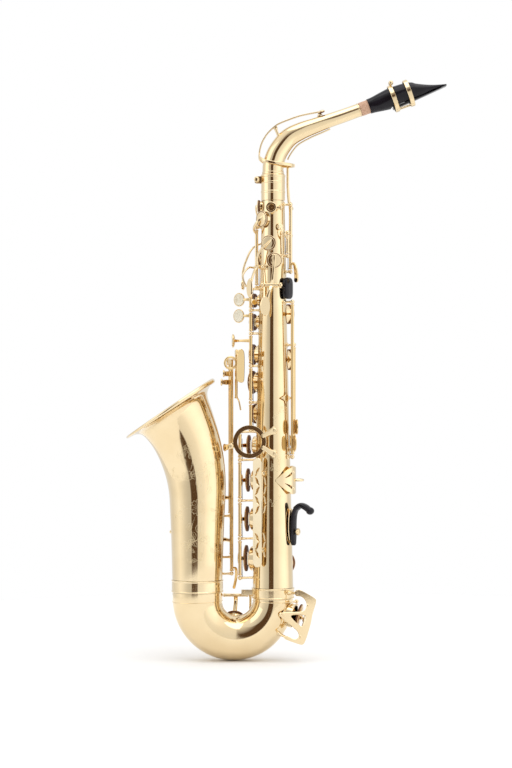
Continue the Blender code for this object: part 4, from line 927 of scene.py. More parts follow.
def ferrules():
    for name, centre_x, low, high, inside in (
            ("body_bow_ferrule", 0.0, BOW_TOPS[0] + GAP, BODY_FOOT - GAP, 22.2),
            ("bell_bow_ferrule", BELL_X, BOW_TOPS[1] + GAP, BELL_FOOT - GAP, 28.0)):
        wide = inside + (2.6 if name.startswith("body") else 2.1)
        profile = ((inside, low), (wide, low), (wide + 0.4, low + 0.5), (wide + 0.4, low + 1.3),
                   (wide - 0.1, low + 1.9), (wide - 0.1, high - 1.9), (wide + 0.4, high - 1.3),
                   (wide + 0.4, high - 0.5), (wide, high), (inside, high))
        loose = []
        if name.startswith("body"):
            loose = [plate([(-37, 3.6), (-23, 3.6), (-23, 9.8), (-37, 9.8)], (0, 3, low), X, Z, 6, edge=0.5)]
            for z in (5.3, 8.2):
                loose.extend(screw_head((-33.5, -3.0, low + z), (0, -1, 0), 1.2, 0.6))
        node(name, [turned(profile, (centre_x, 0, 0), Z, 96, closed=True, corner=0.25)], loose=loose)


def bell_ring(from_rim, radius):
    centre, axis = bell_axis(from_rim)
    return circle(centre, axis, radius, 120, Y)


def bell():
    stations = [2.6, 3.5, 4.5, 5.6, 7.0, 9.0, 11.5, 14.5, 19.0]
    while stations[-1] < BELL_LENGTH - 5:
        stations.append(stations[-1] + 4.2)
    stations[-1] = BELL_LENGTH
    outer = [bell_ring(d, bell_radius(d)) for d in stations]
    inner = [bell_ring(d, bell_radius(d) - WALL) for d in stations]
    lip = []
    for turn in range(-120, 217, 24):
        roll = radians(turn)
        lip.append(bell_ring(0.2 - RIM_BEAD * sin(roll), 61.75 - RIM_BEAD * (1 - cos(roll))))
    rings = outer[::-1] + lip + inner
    parts = []
    for height, hole, _ in BELL_HOLES:
        parts.append(chimney(Vector((BELL_X, 0, height)), Vector(Y), hole, 26.5, BELL_CHIMNEY_TOP,
                             (12.0, 40.0), 64, 0.45, 0.45))
    united, cuts, loose = (list(group) for group in zip(*parts))
    for x, y, height in BELL_POSTS:
        foot = Vector((BELL_X, 0, height))
        out = Vector((x, y, height)) - foot
        loose.append(ball_post(foot, out, 29.2, out.length))
    loose.append(turned(((2.0, -0.6), (2.0, 0.5), (1.4, 1.3), (0.5, 1.7)), (BELL_X - 31.0, 0, 150.0),
                        (-1, 0, 0), 24))
    node("bell", [skin(rings, closed=True)], united=united, cuts=cuts, loose=loose)


def bell_brace():
    centre = Vector((-27.3, -24.0, 256.0))
    profile = ((14.0, -1.3), (19.2, -1.3), (19.2, 1.3), (14.0, 1.3))
    solids = [turned(profile, centre, Y, 96, closed=True, corner=0.3)]
    solids.append(bar([(-44.8, -24, 252.4), (-50, -23.2, 250.6), (-53.6, -19.5, 249.6), (-56.4, -14.4, 249)],
                      [7.4, 6.2, 6.6, 9.0], 2.4, Z))
    solids.append(turned(((2.9, -1.5), (2.9, 1.6), (2.1, 2.4)), (-48.8, -24.0, 251.2), (-0.3, -1, 0), 28))
    PIVOT_SCREWS.extend(screw_head((-49.4, -26.2, 251.2), (-0.3, -1, 0), 1.7, 0.8))
    for z, lean in ((269.0, 4.5), (242.0, -4.5)):
        solids.append(bar([(-12.0, -25.0, 256 + lean * 1.5), (-8.6, -24.5, 256 + lean * 1.9),
                           (-4, -23.8, z - lean * 0.5), (1.4, -22.7, z)], [5.0, 5.4, 6.0, 9.6], 2.2, Z))
        out = outward(3)
        solids.append(turned(((3.0, 21.2), (3.0, 23.4), (2.2, 24.2)), (0.6, 0, z), out, 28))
        PIVOT_SCREWS.extend(screw_head(Vector((0.6, 0, z)) + out * 24.0, out, 1.8, 0.8))
    node("bell_brace", solids)


def strap_ring():
    """A pierced plate bent round the back of the body, and the loop that the strap hooks into."""
    outline = [(8, 21.15, 1.2), (22, 21.8, 6.0), (40, 23.6, 12.0), (58, 25.4, 16.0), (76, 25.8, 15.6),
               (90, 25.6, 14.0), (104, 25.8, 15.6), (122, 25.4, 16.0), (140, 23.6, 12.0), (158, 21.8, 6.0),
               (172, 21.15, 1.2)]
    rings = []
    for angle, distance, half in spline(outline, 5):
        low = around(angle, distance + 0.1, STRAP_RING.z)
        high = around(angle, distance + 1.4, STRAP_RING.z)
        ring_points = []
        levels = [half * (k / 8 - 1) for k in range(17)]
        ring_points += [high + Vector((0, 0, level * (0.97 if k in (0, 16) else 1.0)))
                        for k, level in enumerate(levels)]
        ring_points += [low + Vector((0, 0, level)) for level in reversed(levels)]
        rings.append(ring_points)
    loop = [(25.9, -7.6), (30.0, -7.4), (33.6, -5.4), (35.0, 0.0), (33.6, 5.4), (30.0, 7.4), (25.9, 7.6)]
    wire = pipe([(x, y, STRAP_RING.z) for x, y in loop], [1.5] * len(loop), 20, side=Z)
    cuts = []
    for angle in (42, 138):
        for side in (-1, 1):
            hole = rounded([(-3.6, side * 3.0), (1.5, side * 4.4), (5.6, side * 6.4), (6.2, side * 8.6),
                            (5.2, side * 9.6), (1.0, side * 6.2)])
            centre = around(angle, 18.0, STRAP_RING.z)
            cuts.append(plate(hole, centre, outward(angle + 90), Z, 12, edge=0.02))
    loose = [wire]
    for angle in (64, 116):
        for z in (-9.5, 9.5):
            out = outward(angle)
            base = around(angle, 26.7, STRAP_RING.z + z)
            loose.append(turned(((2.0, -0.4), (2.0, 0.3), (1.4, 1.0), (0.5, 1.3)), base, out, 24))
    node("strap_ring", [skin(rings)], cuts=cuts, loose=loose)


def thumb_hook():
    out = outward(HOOK_ANGLE)
    reach = outward(82)
    across = outward(HOOK_ANGLE + 90)
    path = ((0, 137.6), (0, 149), (0, 160), (0.8, 171), (3.8, 178.4), (8.6, 181.4), (14, 179.6),
            (19.4, 175.2))
    points = [out * HOOK_AT + reach * distance + Vector((0, 0, z)) for distance, z in path]
    arm = bar(points, [9, 12, 12, 12, 12, 13, 13, 11], HOOK_THICK, across, per=8, square=2.6, count=32)
    tip = turned(arc(4.5, 6.2, -84, 85), points[-1], across, 32, corner=0.1)
    arch = bar(points[4:], [13, 13, 13, 11], 6.6, across, per=10, square=2.4, count=32)
    slot_cut = rod(out * 20 + Vector((0, 0, 151)), out * 36 + Vector((0, 0, 151)), 2.1, 24)
    node("thumb_hook", [arm], "ebonite", united=[arch, tip], cuts=[slot_cut])
    node("thumb_hook_plate", [plate(ellipse(7.0, 20.5), out * HOOK_PLATE_AT + Vector((0, 0, 157.6)), across,
                                    Z, 1.0)])
    head = out * (HOOK_SCREW_AT + 1.2) + Vector((0, 0, 151))
    thumb_screw("thumb_hook_screw", head, out, 1.6, 1.0, 6.6, 4.1, 4.0)


def thumb_rest():
    base = around(62, 16.1, 433.0)
    profile = ((7.6, 0.4), (9.0, 1.4), (9.3, 4.6), (8.4, 6.0), (5.0, 6.9))
    points, faces = turned(profile, base, outward(62), 56, corner=0.5)
    across = outward(152)
    block = []
    for point in points:
        u = (point - base).dot(across)
        v = point.z - base.z
        reach = hypot(u, v)
        swell = reach / max((abs(u) ** 4 + abs(v) ** 4) ** 0.25, 0.001) if reach > 0.01 else 1.0
        block.append(point + across * (u * (swell - 1)) + Vector((0, 0, v * (swell * 1.36 - 1) + 1.5)))
    node("thumb_rest", [(block, faces)], "ebonite")


def lyre_holder():
    out = outward(-6)
    side = outward(84)
    base = out * (body_radius(528.0) + GAP) + Vector((0, 0, 528.0))
    profile = ((4.1, 1.4), (4.1, 10.0), (5.8, 10.0), (6.4, 9.5), (6.4, 8.3), (5.8, 7.6), (5.8, 2.0),
               (6.2, 1.4), (6.2, 0.4), (5.4, 0.0), (0.3, 0.0), (0.3, 1.4))
    barrel = turned(profile, base, out, 56, closed=True, corner=0.25)
    boss = turned(((2.4, 5.2), (2.4, 8.6), (2.7, 8.8), (2.7, 9.0)), base + out * 5.0, side, 28)
    screw_hole = rod(base + out * 5.0 + side * 2.0, base + out * 5.0 + side * 12.0, 1.4, 20)
    node("lyre_holder", [barrel], united=[boss], cuts=[screw_hole])
    thumb_screw("lyre_screw", base + out * 5.0 + side * 9.5, side, 1.0, 1.0, 4.0, 3.2, 3.4)


def clothes_guard():
    out = outward(-36)
    u = outward(54)
    origin = out * 30.5 + Vector((0, 0, 174.0))
    half, end = 6.2, 57.3
    outline = [(half, end), (half, -end)] + arc(half, half, -12, -180, -12, -end)
    outline += [(-half, -end), (-half, end)] + arc(half, half, 168, 0, -12, end)
    holes = []
    for z, lean in ((47, 1), (36, -1), (25, 1), (14, -1), (3, 1), (-29, -1), (-39, 1), (-48, -1)):
        leaf = [(lean * -3.4, -4.4), (lean * -0.8, -3.6), (lean * 1.2, -1.2), (lean * 2.0, 1.6),
                (lean * 3.6, 5.0), (lean * 0.6, 3.8), (lean * -1.4, 1.2), (lean * -2.0, -1.6)]
        holes.append([(a, b + z) for a, b in rounded(leaf, 3)])
    node("clothes_guard", [plate(outline, origin, u, Z, 1.3, holes)], kind="pale")
    for name, z in (("clothes_guard_pillar_top", 219.0), ("clothes_guard_pillar_bottom", 130.0)):
        start = body_radius(z) + GAP
        node(name, [turned(((3.4, start), (3.4, start + 0.8), (2.2, start + 1.6), (1.7, start + 2.6),
                            (1.7, 27.6), (2.6, 28.6), (2.6, 30.5 - GAP)), (0, 0, z), out, 32)])


def guard_stem(tube_centre, tube_radius, tip):
    """A stem from just clear of a tube's surface to the guard's front plate, and its round head."""
    tube_centre = Vector(tube_centre)
    tip = Vector(tip)
    out = (tip - tube_centre).normalized()
    foot = tube_centre + out * (tube_radius + GAP)
    stem = pipe([foot, foot * 0.7 + tip * 0.3, foot * 0.3 + tip * 0.7, tip + out * 0.4], [2.6, 1.6, 1.5, 1.7],
                24, per=4)
    PIVOT_SCREWS.extend(screw_head((tip.x, GUARD_FRONT_Y - GUARD_THICK + 0.1, tip.z), (0, -1, 0), 2.2, 1.0))
    return stem


def low_c_guard():
    centre = LOW_C_CENTRE + LOW_C_OUT * (bow_radius(LOW_C_ANGLE) + 17.5)
    u = Vector(Z).cross(LOW_C_OUT).normalized()
    v = LOW_C_OUT.cross(u).normalized()
    outline = [(-8, 19), (-2, 20.4), (4, 21), (11, 17), (9.6, 11), (8.5, 6), (7.5, -6), (8.4, -13), (9, -20),
               (2, -24), (-7, -23), (-9, -10), (-7, 0), (-9, 10)]
    holes = [[(a, b + shift) for a, b in ellipse(5.2, 6.8, 40)] for shift in (9.5, -11.0)]
    solids = [plate(rounded(outline), centre, u, v, GUARD_THICK, holes, edge=0.4)]
    front = (0, GUARD_FRONT_Y, 0)
    solids.append(plate(rounded(GUARD_FRONT, 3), front, X, Z, GUARD_THICK,
                        [rounded(GUARD_TRIANGLE, 5)], edge=0.4))
    for x, z, inner_y in ((40.2, 66.0, -17.5), (31.4, 29.5, -15.0)):
        solids.append(bar([(x, GUARD_FRONT_Y - 0.8, z), (x, (GUARD_FRONT_Y + inner_y) / 2, z),
                           (x, inner_y, z)], 5.0, 2.2, Z))
    solids.append(guard_stem((0, 0, 79.0), 25.0, (27.0, GUARD_FRONT_Y, 80.6)))
    solids.append(guard_stem(bow_point(20), bow_radius(20), (11.0, GUARD_FRONT_Y, 55.4)))
    solids.append(guard_stem(bow_point(42), bow_radius(42), (15.6, GUARD_FRONT_Y, 29.0)))
    node("low_C_guard", solids)
    bumper = turned(((2.4, -2.2), (2.7, -1.8), (2.7, -0.1)), centre + v * -0.7, LOW_C_OUT, 28)
    piece("low_C_bumper", [bumper], "amber", "root")


def bell_key_guard():
    level = 54.0
    path = [(BELL_X, level, z) for z in (109, 123, 138, 150, 162.6, 175, 188, 203, 217)]
    solids = [bar(path, [6.5, 6.2, 10, 6.4, 7.4, 6.4, 10, 6.2, 6.5], 2.0, X)]
    for height, start in ((112.0, 30.4), (162.6, 32.0), (214.0, 35.4)):
        solids.append(turned(((3.4, start), (3.4, start + 0.8), (2.1, start + 1.8), (1.6, start + 3.0),
                              (1.6, level - 2), (2.2, level)), (BELL_X, 0, height), Y, 28))
        PIVOT_SCREWS.extend(screw_head((BELL_X, level + 0.9, height), Y, 2.0, 0.8))
    for height, _, _ in BELL_HOLES:
        solids.append(turned(((4.8, 51.0), (4.8, level)), (BELL_X, 0, height), Y, 36))
        piece("bell_bumper_%d" % height, [turned(((3.9, 49.6), (4.2, 50.0), (4.2, 51.2)), (BELL_X, 0, height),
                                                 Y, 36)], "amber", "root")
    node("bell_key_guard", solids)


# ---- the neck and mouthpiece ----

def neck():
    foot = [(0, 0, 568.4, 12.9), (0, 0, 570.6, 12.9), (0, 0, 571.2, 12.4), (0, 0, 573.4, 12.3)]
    path = spline([(x, 0, z, r) for x, z, r in NECK_PATH], 8)
    rows = foot + [tuple(row) for row in path]
    centres = [Vector(row[:3]) for row in rows]
    axes = [Vector(Z)] * len(foot) + tangents(centres[len(foot):])
    outer = [circle(c, a, row[3], 80, Y) for c, a, row in zip(centres, axes, rows)]
    outer.append(circle(NECK_END + NECK_AXIS * 0.1, NECK_AXIS, 6.3, 80, Y))
    outer.append(circle(NECK_END + NECK_AXIS * 29.0, NECK_AXIS, 6.3, 80, Y))
    inner = [circle((0, 0, z), Z, 10.8, 80, Y) for z in (545.0, 568.4, 573.4)]
    inner += [circle(Vector(row[:3]), a, row[3] - WALL, 80, Y)
              for row, a in zip(path, tangents([Vector(r[:3]) for r in path]))][:-6]
    inner.append(circle(NECK_END, NECK_AXIS, 5.6, 80, Y))
    inner.append(circle(NECK_END + NECK_AXIS * 29.0, NECK_AXIS, 5.1, 80, Y))
    tenon = [circle((0, 0, z), Z, 12.0, 80, Y) for z in (545.0, 568.3)]
    loose = [turned(((3.4, 8.4), (3.4, 9.1), (2.6, 9.8), (2.4, 10.6), (2.4, 11.0), (1.0, 11.2), (1.0, 9.5)),
                    NECK_PIP, NECK_PIP_OUT, 36, corner=0.15)]
    loose.append(ring(centres[-1] - NECK_AXIS * 1.0, NECK_AXIS, 7.9, 0.5, 80, 10))
    for y in (-4.6, 4.6):
        loose.append(pipe([(10.4, y * 0.6, 605), (6.6, y * 0.95, 613), (4.4, y, 618),
                           (NECK_HINGE.x, y, NECK_HINGE.z)], [2.6, 1.6, 1.4, 2.2], 24))
    node("neck_tube", [skin(tenon + outer + inner[::-1], closed=True)], loose=loose)
    screws = []
    for way in (-1, 1):
        screws.extend(screw_head((NECK_HINGE.x, way * 6.3, NECK_HINGE.z), (0, way, 0), 1.4, 0.6))
    piece("neck_pivot_screws", screws, "lacquer", "neck")
    brace = [(17.4, 0, 585.9), (21.4, 0, 593.0), (29.4, 0, 602.6), (43.2, 0, 610.6), (57.6, 0, 617.0),
             (66.2, 0, 620.9)]
    node("neck_brace", [bar(brace, [3.0, 4.4, 4.8, 4.6, 4.2, 3.0], 1.8, Y, per=8)])
    cork = ((6.6, 0), (7.9, 0.1), (8.05, 0.9), (7.9, 27.2), (7.5, 28.0), (6.6, 28.0))
    node("neck_cork", [turned(cork, NECK_END + NECK_AXIS * 0.4, NECK_AXIS, 72, closed=True)], "cork")


def neck_octave_key():
    solids = [cross_tube(NECK_HINGE, Y, 2.0, 2.35, (2.0, 1.9, 1.2, 1.0))]
    arm = [(59.6, 641.9), (50.8, 640.6), (32.6, 636.9), (19.1, 632.4), (9.1, 628.4), (2.6, 624.6),
           (-6.4, 616.0), (-12.4, 606.5), (-15.2, 598.0), (-16.3, 590.0)]
    solids.append(bar([(x, 0, z) for x, z in arm], [3.0, 3.2, 3.6, 3.8, 4.0, 4.2, 4.2, 3.8, 4.0, 5.4], 2.0, Y,
                      per=6))
    solids.append(turned(((4.4, 0.5), (4.4, 1.5), (3.4, 2.4), (1.6, 2.9)), NECK_PAD, NECK_PIP_OUT, 40))
    for side in (-1, 1):
        branch = [(-16.3, side * 1.2, 591.5), (-15.6, side * 7.5, 587.0), (-9.0, side * 14.8, 582.6),
                  (2.0, side * 16.6, 580.2), (13.0, side * 14.6, 579.0), (22.0, side * 7.5, 578.4),
                  (24.6, side * -0.8, 578.2)]
        solids.append(bar(branch, [4.2, 3.6, 3.4, 3.4, 3.4, 3.6, 4.0], 1.6, Z, per=8))
    node("neck_octave_key", solids, pivot=NECK_HINGE)
    body = BODY_OF["neck_octave_key"]
    piece("neck_octave_pad", [turned(((3.7, -0.35), (3.9, -0.1), (3.9, 0.8)), NECK_PAD, NECK_PIP_OUT, 36)],
          "leather", body)


def mouth_ring(station, top, bottom, half, segments=64, flat_from=24):
    centre = MOUTH_START + NECK_AXIS * station + MOUTH_UP * ((top + bottom) / 2)
    points = []
    for i in range(segments):
        turn = 2 * pi * (i + 0.5) / segments
        rise = sin(turn)
        lift = rise * (top - bottom) / 2
        if station >= flat_from and rise < -0.72:
            lift = (-0.80 + (rise + 0.72) * 0.12) * (top - bottom) / 2
        points.append(centre + MOUTH_UP * lift + Vector(Y) * cos(turn) * half)
    return points


def mouthpiece():
    rows = spline([(-1.0, 8.6, -8.6, 8.6), (-0.9, 8.8, -8.8, 8.8)] + [tuple(s) for s in MOUTHPIECE[1:]], 5)
    body = skin([mouth_ring(*row) for row in rows])
    bore = rod(MOUTH_START - NECK_AXIS * 6, MOUTH_START + NECK_AXIS * 17.5, 8.3, 56)
    chamber = pipe([MOUTH_START + NECK_AXIS * 10, MOUTH_START + NECK_AXIS * 52], [5.4, 5.0], 40, per=1)
    window = plate(((40, -3), (60, -4.6), (86, -7.4), (86, -16), (40, -16)),
                   MOUTH_START + Vector((0, 5.2, 0)), NECK_AXIS, MOUTH_UP, 10.4, edge=0.02)
    node("mouthpiece", [body], "ebonite", cuts=[bore, chamber, window])


def reed():
    """A flat-backed reed under the mouthpiece's table, thinning to its tip."""
    rows = spline(((24.5, -10.9, 3.0, 6.4), (31.0, -10.6, 3.0, 6.6), (46.0, -10.1, 2.6, 6.9),
                   (58.0, -9.8, 2.0, 7.2), (78.0, -9.1, 1.0, 7.5), (92.0, -8.3, 0.5, 7.8)), 5)
    rings = []
    for station, level, thick, half in rows:
        middle = MOUTH_START + NECK_AXIS * station + MOUTH_UP * level
        ring_points = [middle + Vector((0, -half, 0)), middle + Vector((0, half, 0))]
        for step in range(1, 12):
            turn = pi * step / 12
            ring_points.append(middle + Vector((0, half * cos(turn), 0))
                               - MOUTH_UP * (thick * sin(turn) ** 0.5))
        rings.append(ring_points)
    node("reed", [skin(rings)], "ebonite")


def ligature():
    solids = []
    for station in (26.5, 45.5):
        outer = [mouth_ring(position, 14.8 - ease, -17.7 + ease, 13.7 - ease, 72, 999)
                 for position, ease in ((station, 0.4), (station + 0.4, 0), (station + 4.6, 0),
                                        (station + 5.0, 0.4))]
        inner = [mouth_ring(position, 13.6, -16.4, 12.5, 72, 999) for position in (station, station + 5.0)]
        solids.append(skin(outer + inner[::-1], closed=True))
    bottom = MOUTH_START - MOUTH_UP * 15.0
    for y in (-6.5, 6.5):
        side = Vector((0, y, 0))
        solids.append(bar([bottom + NECK_AXIS * s + side for s in (28, 35, 42, 49)], 2.2, 1.4, Y))
    lug = turned(((2.8, -3.4), (2.8, 3.4), (1.3, 3.4), (1.3, -3.4)), LIGATURE_SCREW, Y, 32, closed=True)
    node("ligature", solids, loose=[lug])
    thumb_screw("ligature_screw", LIGATURE_SCREW - Vector((0, 4.6, 0)), (0, -1, 0), 0.95, 1.0, 6.8, 2.6, 4.2)


# ---- the keys ----

def stack_key(hole, rod_at, low, high, pearl_at=None, opening=OPEN, touch_cup=False):
    """A key on an upright rod: a tube, a pad cup over its tone hole, and an arm between them."""
    name = hole + "_key"
    _, height, _, cup = TONE_HOLES[hole]
    base, out = cup_place(hole)
    thick = SMALL_CUP_THICK if hole in SMALL_HOLES else CUP_THICK
    centre = base + out * (thick - 0.5)
    x, y = rod_at
    pivot = Vector((x, y, (low + high) / 2))
    hinge = Vector((x, y, min(max(height, low + 3), high - 3)))
    body = BODY_OF[name]
    knee = centre + out * 2.6 + (hinge - centre) * 0.42
    solids = [hung_tube(rod_at, low, high),
              bar([hinge, hinge * 0.5 + knee * 0.5 + out * 0.5, knee, centre + out * 0.3,
                   centre - (knee - centre) * 0.25], [5.4, 4.2, 4.0, 5.0, 3.4], 2.0, Z)]
    if touch_cup:
        seat = centre + out * 3.4
        solids.append(turned(((2.6, -2.4), (2.2, 0.0), (2.4, 1.4)), seat, out, 28))
        solids.append(touch_dish(seat + out * 1.6, out, 7.4))
        pearl(name, seat + out * 1.6, out, 7.4, body, pivot, opening)
    if pearl_at:
        place, facing = pearl_at
        place = Vector(place)
        facing = Vector(facing).normalized()
        start = Vector((x, y, min(max(place.z, low + 3), high - 3)))
        solids.append(bar([start, (start * 2 + place) / 3 + facing * 1.4,
                           (start + place * 2) / 3 + facing * 1.0, place - facing * 0.8],
                          [4.4, 3.2, 3.0, 4.0], 2.0, Z))
        solids.append(touch_dish(place, facing, 8.0))
        pearl(name, place, facing, 8.0, body, pivot, opening)
    node(name, solids, "gold", pivot=pivot, opening=opening)
    pad(name, base, out, cup, body, pivot, opening, thick)


def c_key_bumper():
    """The adjusting foot of the C key with its amber bumper."""
    body = BODY_OF["C_key"]
    x, y = UPPER_ROD
    turn = {"pivot": (x, y, 421.3), "opening": OPEN}
    foot = bar([(x, y, 420.5), (x + 0.8, y - 3.4, 419.4), (x + 2.8, y - 5.6, 418.0)], [5.0, 5.4, 7.0], 1.8, Z)
    piece("C_key_foot", [foot], "lacquer", body, **turn)
    piece("C_key_bumper", [turned(((2.6, -1.4), (2.9, -1.0), (2.9, 0.6), (2.2, 1.2)),
                                  (x + 2.9, y - 6.2, 418.0), (-0.1, -1, 0), 32)], "amber", body, **turn)


def stacks():
    stack_key("C", UPPER_ROD, 411.8, 430.8, pearl_at=((-36.5, 4.5, 421.5), (-0.8, -0.6, 0)))
    stack_key("B", UPPER_ROD, 384.6, 406.2, pearl_at=((-37.0, 4.5, 402.5), (-0.8, -0.6, 0)))
    stack_key("A", UPPER_ROD, 346.8, 379.0, pearl_at=((-42.5, 10, 373.5), (-1, 0.2, 0)))
    stack_key("G", UPPER_ROD, 304.2, 341.2)
    stack_key("G_sharp", UPPER_ROD, 272.4, 298.6, opening=0)
    stack_key("F_sharp", LOWER_ROD, 237.2, 264.4)
    stack_key("F", LOWER_ROD, 189.8, 231.6, touch_cup=True)
    stack_key("E", LOWER_ROD, 145.6, 184.2, touch_cup=True)
    stack_key("D", LOWER_ROD, 99.8, 140.0, touch_cup=True)


def spoon(centre, facing, wide, tall):
    """A palm touch: a shallow dished oval."""
    facing = Vector(facing).normalized()
    v = Vector(Z)
    v = (v - facing * v.dot(facing)).normalized()
    u = v.cross(facing)
    return plate(ellipse(wide, tall, 40), Vector(centre), u, v, 2.2, edge=0.7, dish=-0.9)


def small_key(hole, solids, pivot, thick=SMALL_CUP_THICK):
    """A key whose cup is closed at rest: its shell, pad and resonator."""
    name = hole + "_key"
    base, out = cup_place(hole)
    node(name, solids, "lacquer" if name.startswith(("palm", "front")) else "gold", pivot=pivot)
    pad(name, base, out, TONE_HOLES[hole][3], BODY_OF[name], thick=thick)


def palm_keys():
    thick = SMALL_CUP_THICK
    base, out = cup_place("palm_D")
    pivot = Vector((-2.0, -21.0, 437.8))
    tube = cross_tube(pivot, X, 2.0, 2.35, (7.9, 7.8, 6.4, 6.1))
    small_key("palm_D", [
        tube,
        bar([pivot, (-0.6, -23.8, 444.0), (0.0, -24.4, 450.0), (0.8, -23.7, 458.0),
             base + out * (thick + 0.7), base + out * (thick - 0.1) + Vector((0, 0, 6))],
            [4.4, 3.6, 3.2, 3.2, 3.6, 2.6], 2.0, X),
        bar([pivot, (-3.6, -24.4, 432.5), (-5.6, -25.9, 427.0), (-8.4, -27.4, 418.0)],
            [4.4, 3.6, 3.6, 4.2], 2.0, X),
        spoon((-9.4, -28.4, 413.0), (0.16, -1, 0), 5.8, 11.5)], pivot)
    base, out = cup_place("palm_Eb")
    side = PALM_EB_AXIS
    pivot = PALM_EB_PIVOT
    tube = cross_tube(pivot, side, 2.0, 2.35, (5, 4.9, 3.8, 3.5))
    small_key("palm_Eb", [
        tube,
        bar([pivot, pivot + Vector((-0.6, -5.0, 10)), base + out * (thick + 2.4) + Vector((-8, 2, -8)),
             base + out * (thick + 0.5) + Vector((-1.5, 0, -1.5)),
             base + out * (thick - 0.1) + Vector((3.4, 0, 4))],
            [4.4, 3.4, 3.2, 3.6, 2.6], 2.0, side),
        bar([pivot, pivot + Vector((-3.4, -2.2, -3.4)), pivot + Vector((-5.4, -4.4, -9)),
             (-26.0, -20.2, 440)],
            [4.4, 3.6, 3.4, 4.2], 2.0, side),
        spoon((-26.6, -21.0, 434.0), outward(-52), 5.2, 11.5)], pivot)
    base, out = cup_place("palm_F")
    x, y = PALM_F_ROD
    small_key("palm_F", [
        hung_tube(PALM_F_ROD, 438.8, 503.7),
        bar([(x, y, 500.0), (x - 3.6, y - 9.0, 504.0), base + out * (thick + 1.4) + Vector((-3, 2, -4)),
             base + out * (thick + 0.2), base + out * (thick - 0.2) + Vector((3, -2, 3.5))],
            [4.6, 3.8, 3.4, 3.6, 2.6], 2.0, Z),
        bar([(x, y, 458.0), (-28.4, -1.0, 459.0), (-35.4, -5.5, 449.0), (-32.0, -7.5, 438.0)],
            [4.4, 4.2, 6.2, 7.0], 2.2, (0, 1, 0.2), per=8)], Vector((x, y, 471.0)))
    base, out = cup_place("front_F")
    x, y = FRONT_F_ROD
    dish_at = Vector((-34.6, 7.2, 439.0))
    small_key("front_F", [
        hung_tube(FRONT_F_ROD, 486.8, 516.2),
        bar([(x, y, 513.0), (x - 9.0, y - 0.5, 519.0), base + out * (thick + 1.2) + Vector((0, 3, -2)),
             base + out * (thick - 0.2)], [4.4, 3.2, 3.2, 3.4], 2.0, Z),
        bar([(x, y, 490.0), (-23.0, 17.0, 483.5), (-31.0, 11.0, 469.0), (-35.5, 9.0, 453.0),
             (-34.0, 8.0, 441.0)],
            [4.0, 3.4, 3.4, 3.6, 5], 2.0, (0.4, 1, 0)),
        touch_dish(dish_at, (-1, 0.2, 0), 6.0)], Vector((x, y, 501.5)))
    pearl("front_F_key", dish_at, (-1, 0.2, 0), 6.0, BODY_OF["front_F_key"], (x, y, 501.5), 0.0)


def side_keys():
    for hole, rod_at, low, high, touch in (
            ("side_C", SIDE_C_ROD, 240.8, 415.8, ((2.0, -4.0, 254.0), (3.2, -10.0, 254.0))),
            ("side_Bb", SIDE_BB_ROD, 248.8, 365.8, ((3.4, -4.5, 273.0), (3.8, -11.0, 273.0)))):
        height = TONE_HOLES[hole][1]
        base, out = cup_place(hole)
        x, y = rod_at
        small_key(hole, [
            hung_tube(rod_at, low, high),
            bar([(x, y, height), base + out * 5.6 + Vector((2.5, -5.0, 0)), base + out * 4.6,
                 base + out * 4.0 + Vector((0, 4, 0))],
                [5.2, 4.0, 4.4, 3.0], 2.0, Z),
            bar([(x, y, touch[0][2])] + [(x + a, y + b, z) for a, b, z in touch], [12, 18, 16], 2.0, Z,
                per=8)],
            Vector((x, y, (low + high) / 2)), CUP_THICK)
    base, out = cup_place("high_E")
    x, y = HIGH_E_ROD
    small_key("high_E", [
        hung_tube(HIGH_E_ROD, 244.8, 484.2),
        bar([(x, y, 470.0), base + out * 4.6 + Vector((5, 2, 0)), base + out * 3.5,
             base + out * 3.2 + Vector((-4, -2, 0))],
            [5.0, 4.0, 4.0, 3.0], 2.0, Z),
        bar([(x, y, 256.0), (x + 6, y + 3.5, 256.0), (x + 14, y + 2.5, 256.0)], [12, 18, 16], 2.0, Z, per=8)],
        Vector((x, y, 360.0)))


def octave_keys():
    x, y = OCTAVE_ROD
    node("octave_lever", [
        hung_tube(OCTAVE_ROD, 456.8, 529.8, 2.0),
        turned(((2.0, 495.0), (2.6, 495.2), (2.6, 497.2), (2.0, 497.4)), (x, y, 0), Z, 28),
        bar([(x, y, 463.0), (x + 4.5, y - 5.5, 461.5), (x + 6.5, y - 9.0, 450.0), (x + 6.5, y - 9.5, 444.0)],
            [4.6, 6, 9, 10], 2.0, (0.5, -1, 0), per=8),
        bar([(x, y, 527.0), (x + 1.6, y + 5.0, 528.5), (x - 1.5, y + 9.0, 535.0), (x - 3.2, y + 9.5, 556.0)],
            [4.4, 3.6, 3.4, 3.0], 2.4, (1, 0.3, 0), per=8),
        rod((x - 3.2, y + 9.5, 553.0), (x - 3.2, y + 9.5, 581.0), 1.5, 24)], pivot=(x, y, 493.0))
    x, y = BODY_OCTAVE_ROD
    out = outward(VENT_ANGLE)
    base = around(VENT_ANGLE, body_radius(VENT_HEIGHT) + 2.4, VENT_HEIGHT)
    node("body_octave_key", [
        hung_tube(BODY_OCTAVE_ROD, 474.8, 496.2, 1.8),
        turned(((3.4, 0.7), (3.4, 0.0), (4.0, 0.0), (4.0, 2.1), (3.2, 2.8), (1.4, 3.1)), base, out, 36),
        bar([(x, y, 492.5), (14.6, -17.4, 495.5), (13.0, -19.5, 498.6), base + out * 3.0],
            [4.2, 3.0, 2.8, 3.2], 2.0, Z)], pivot=(x, y, 486.0))
    piece("body_octave_pad", [turned(((3.3, 0.8), (3.3, -0.1), (2.8, -0.33)), base, out, 36)], "leather",
          BODY_OF["body_octave_key"])


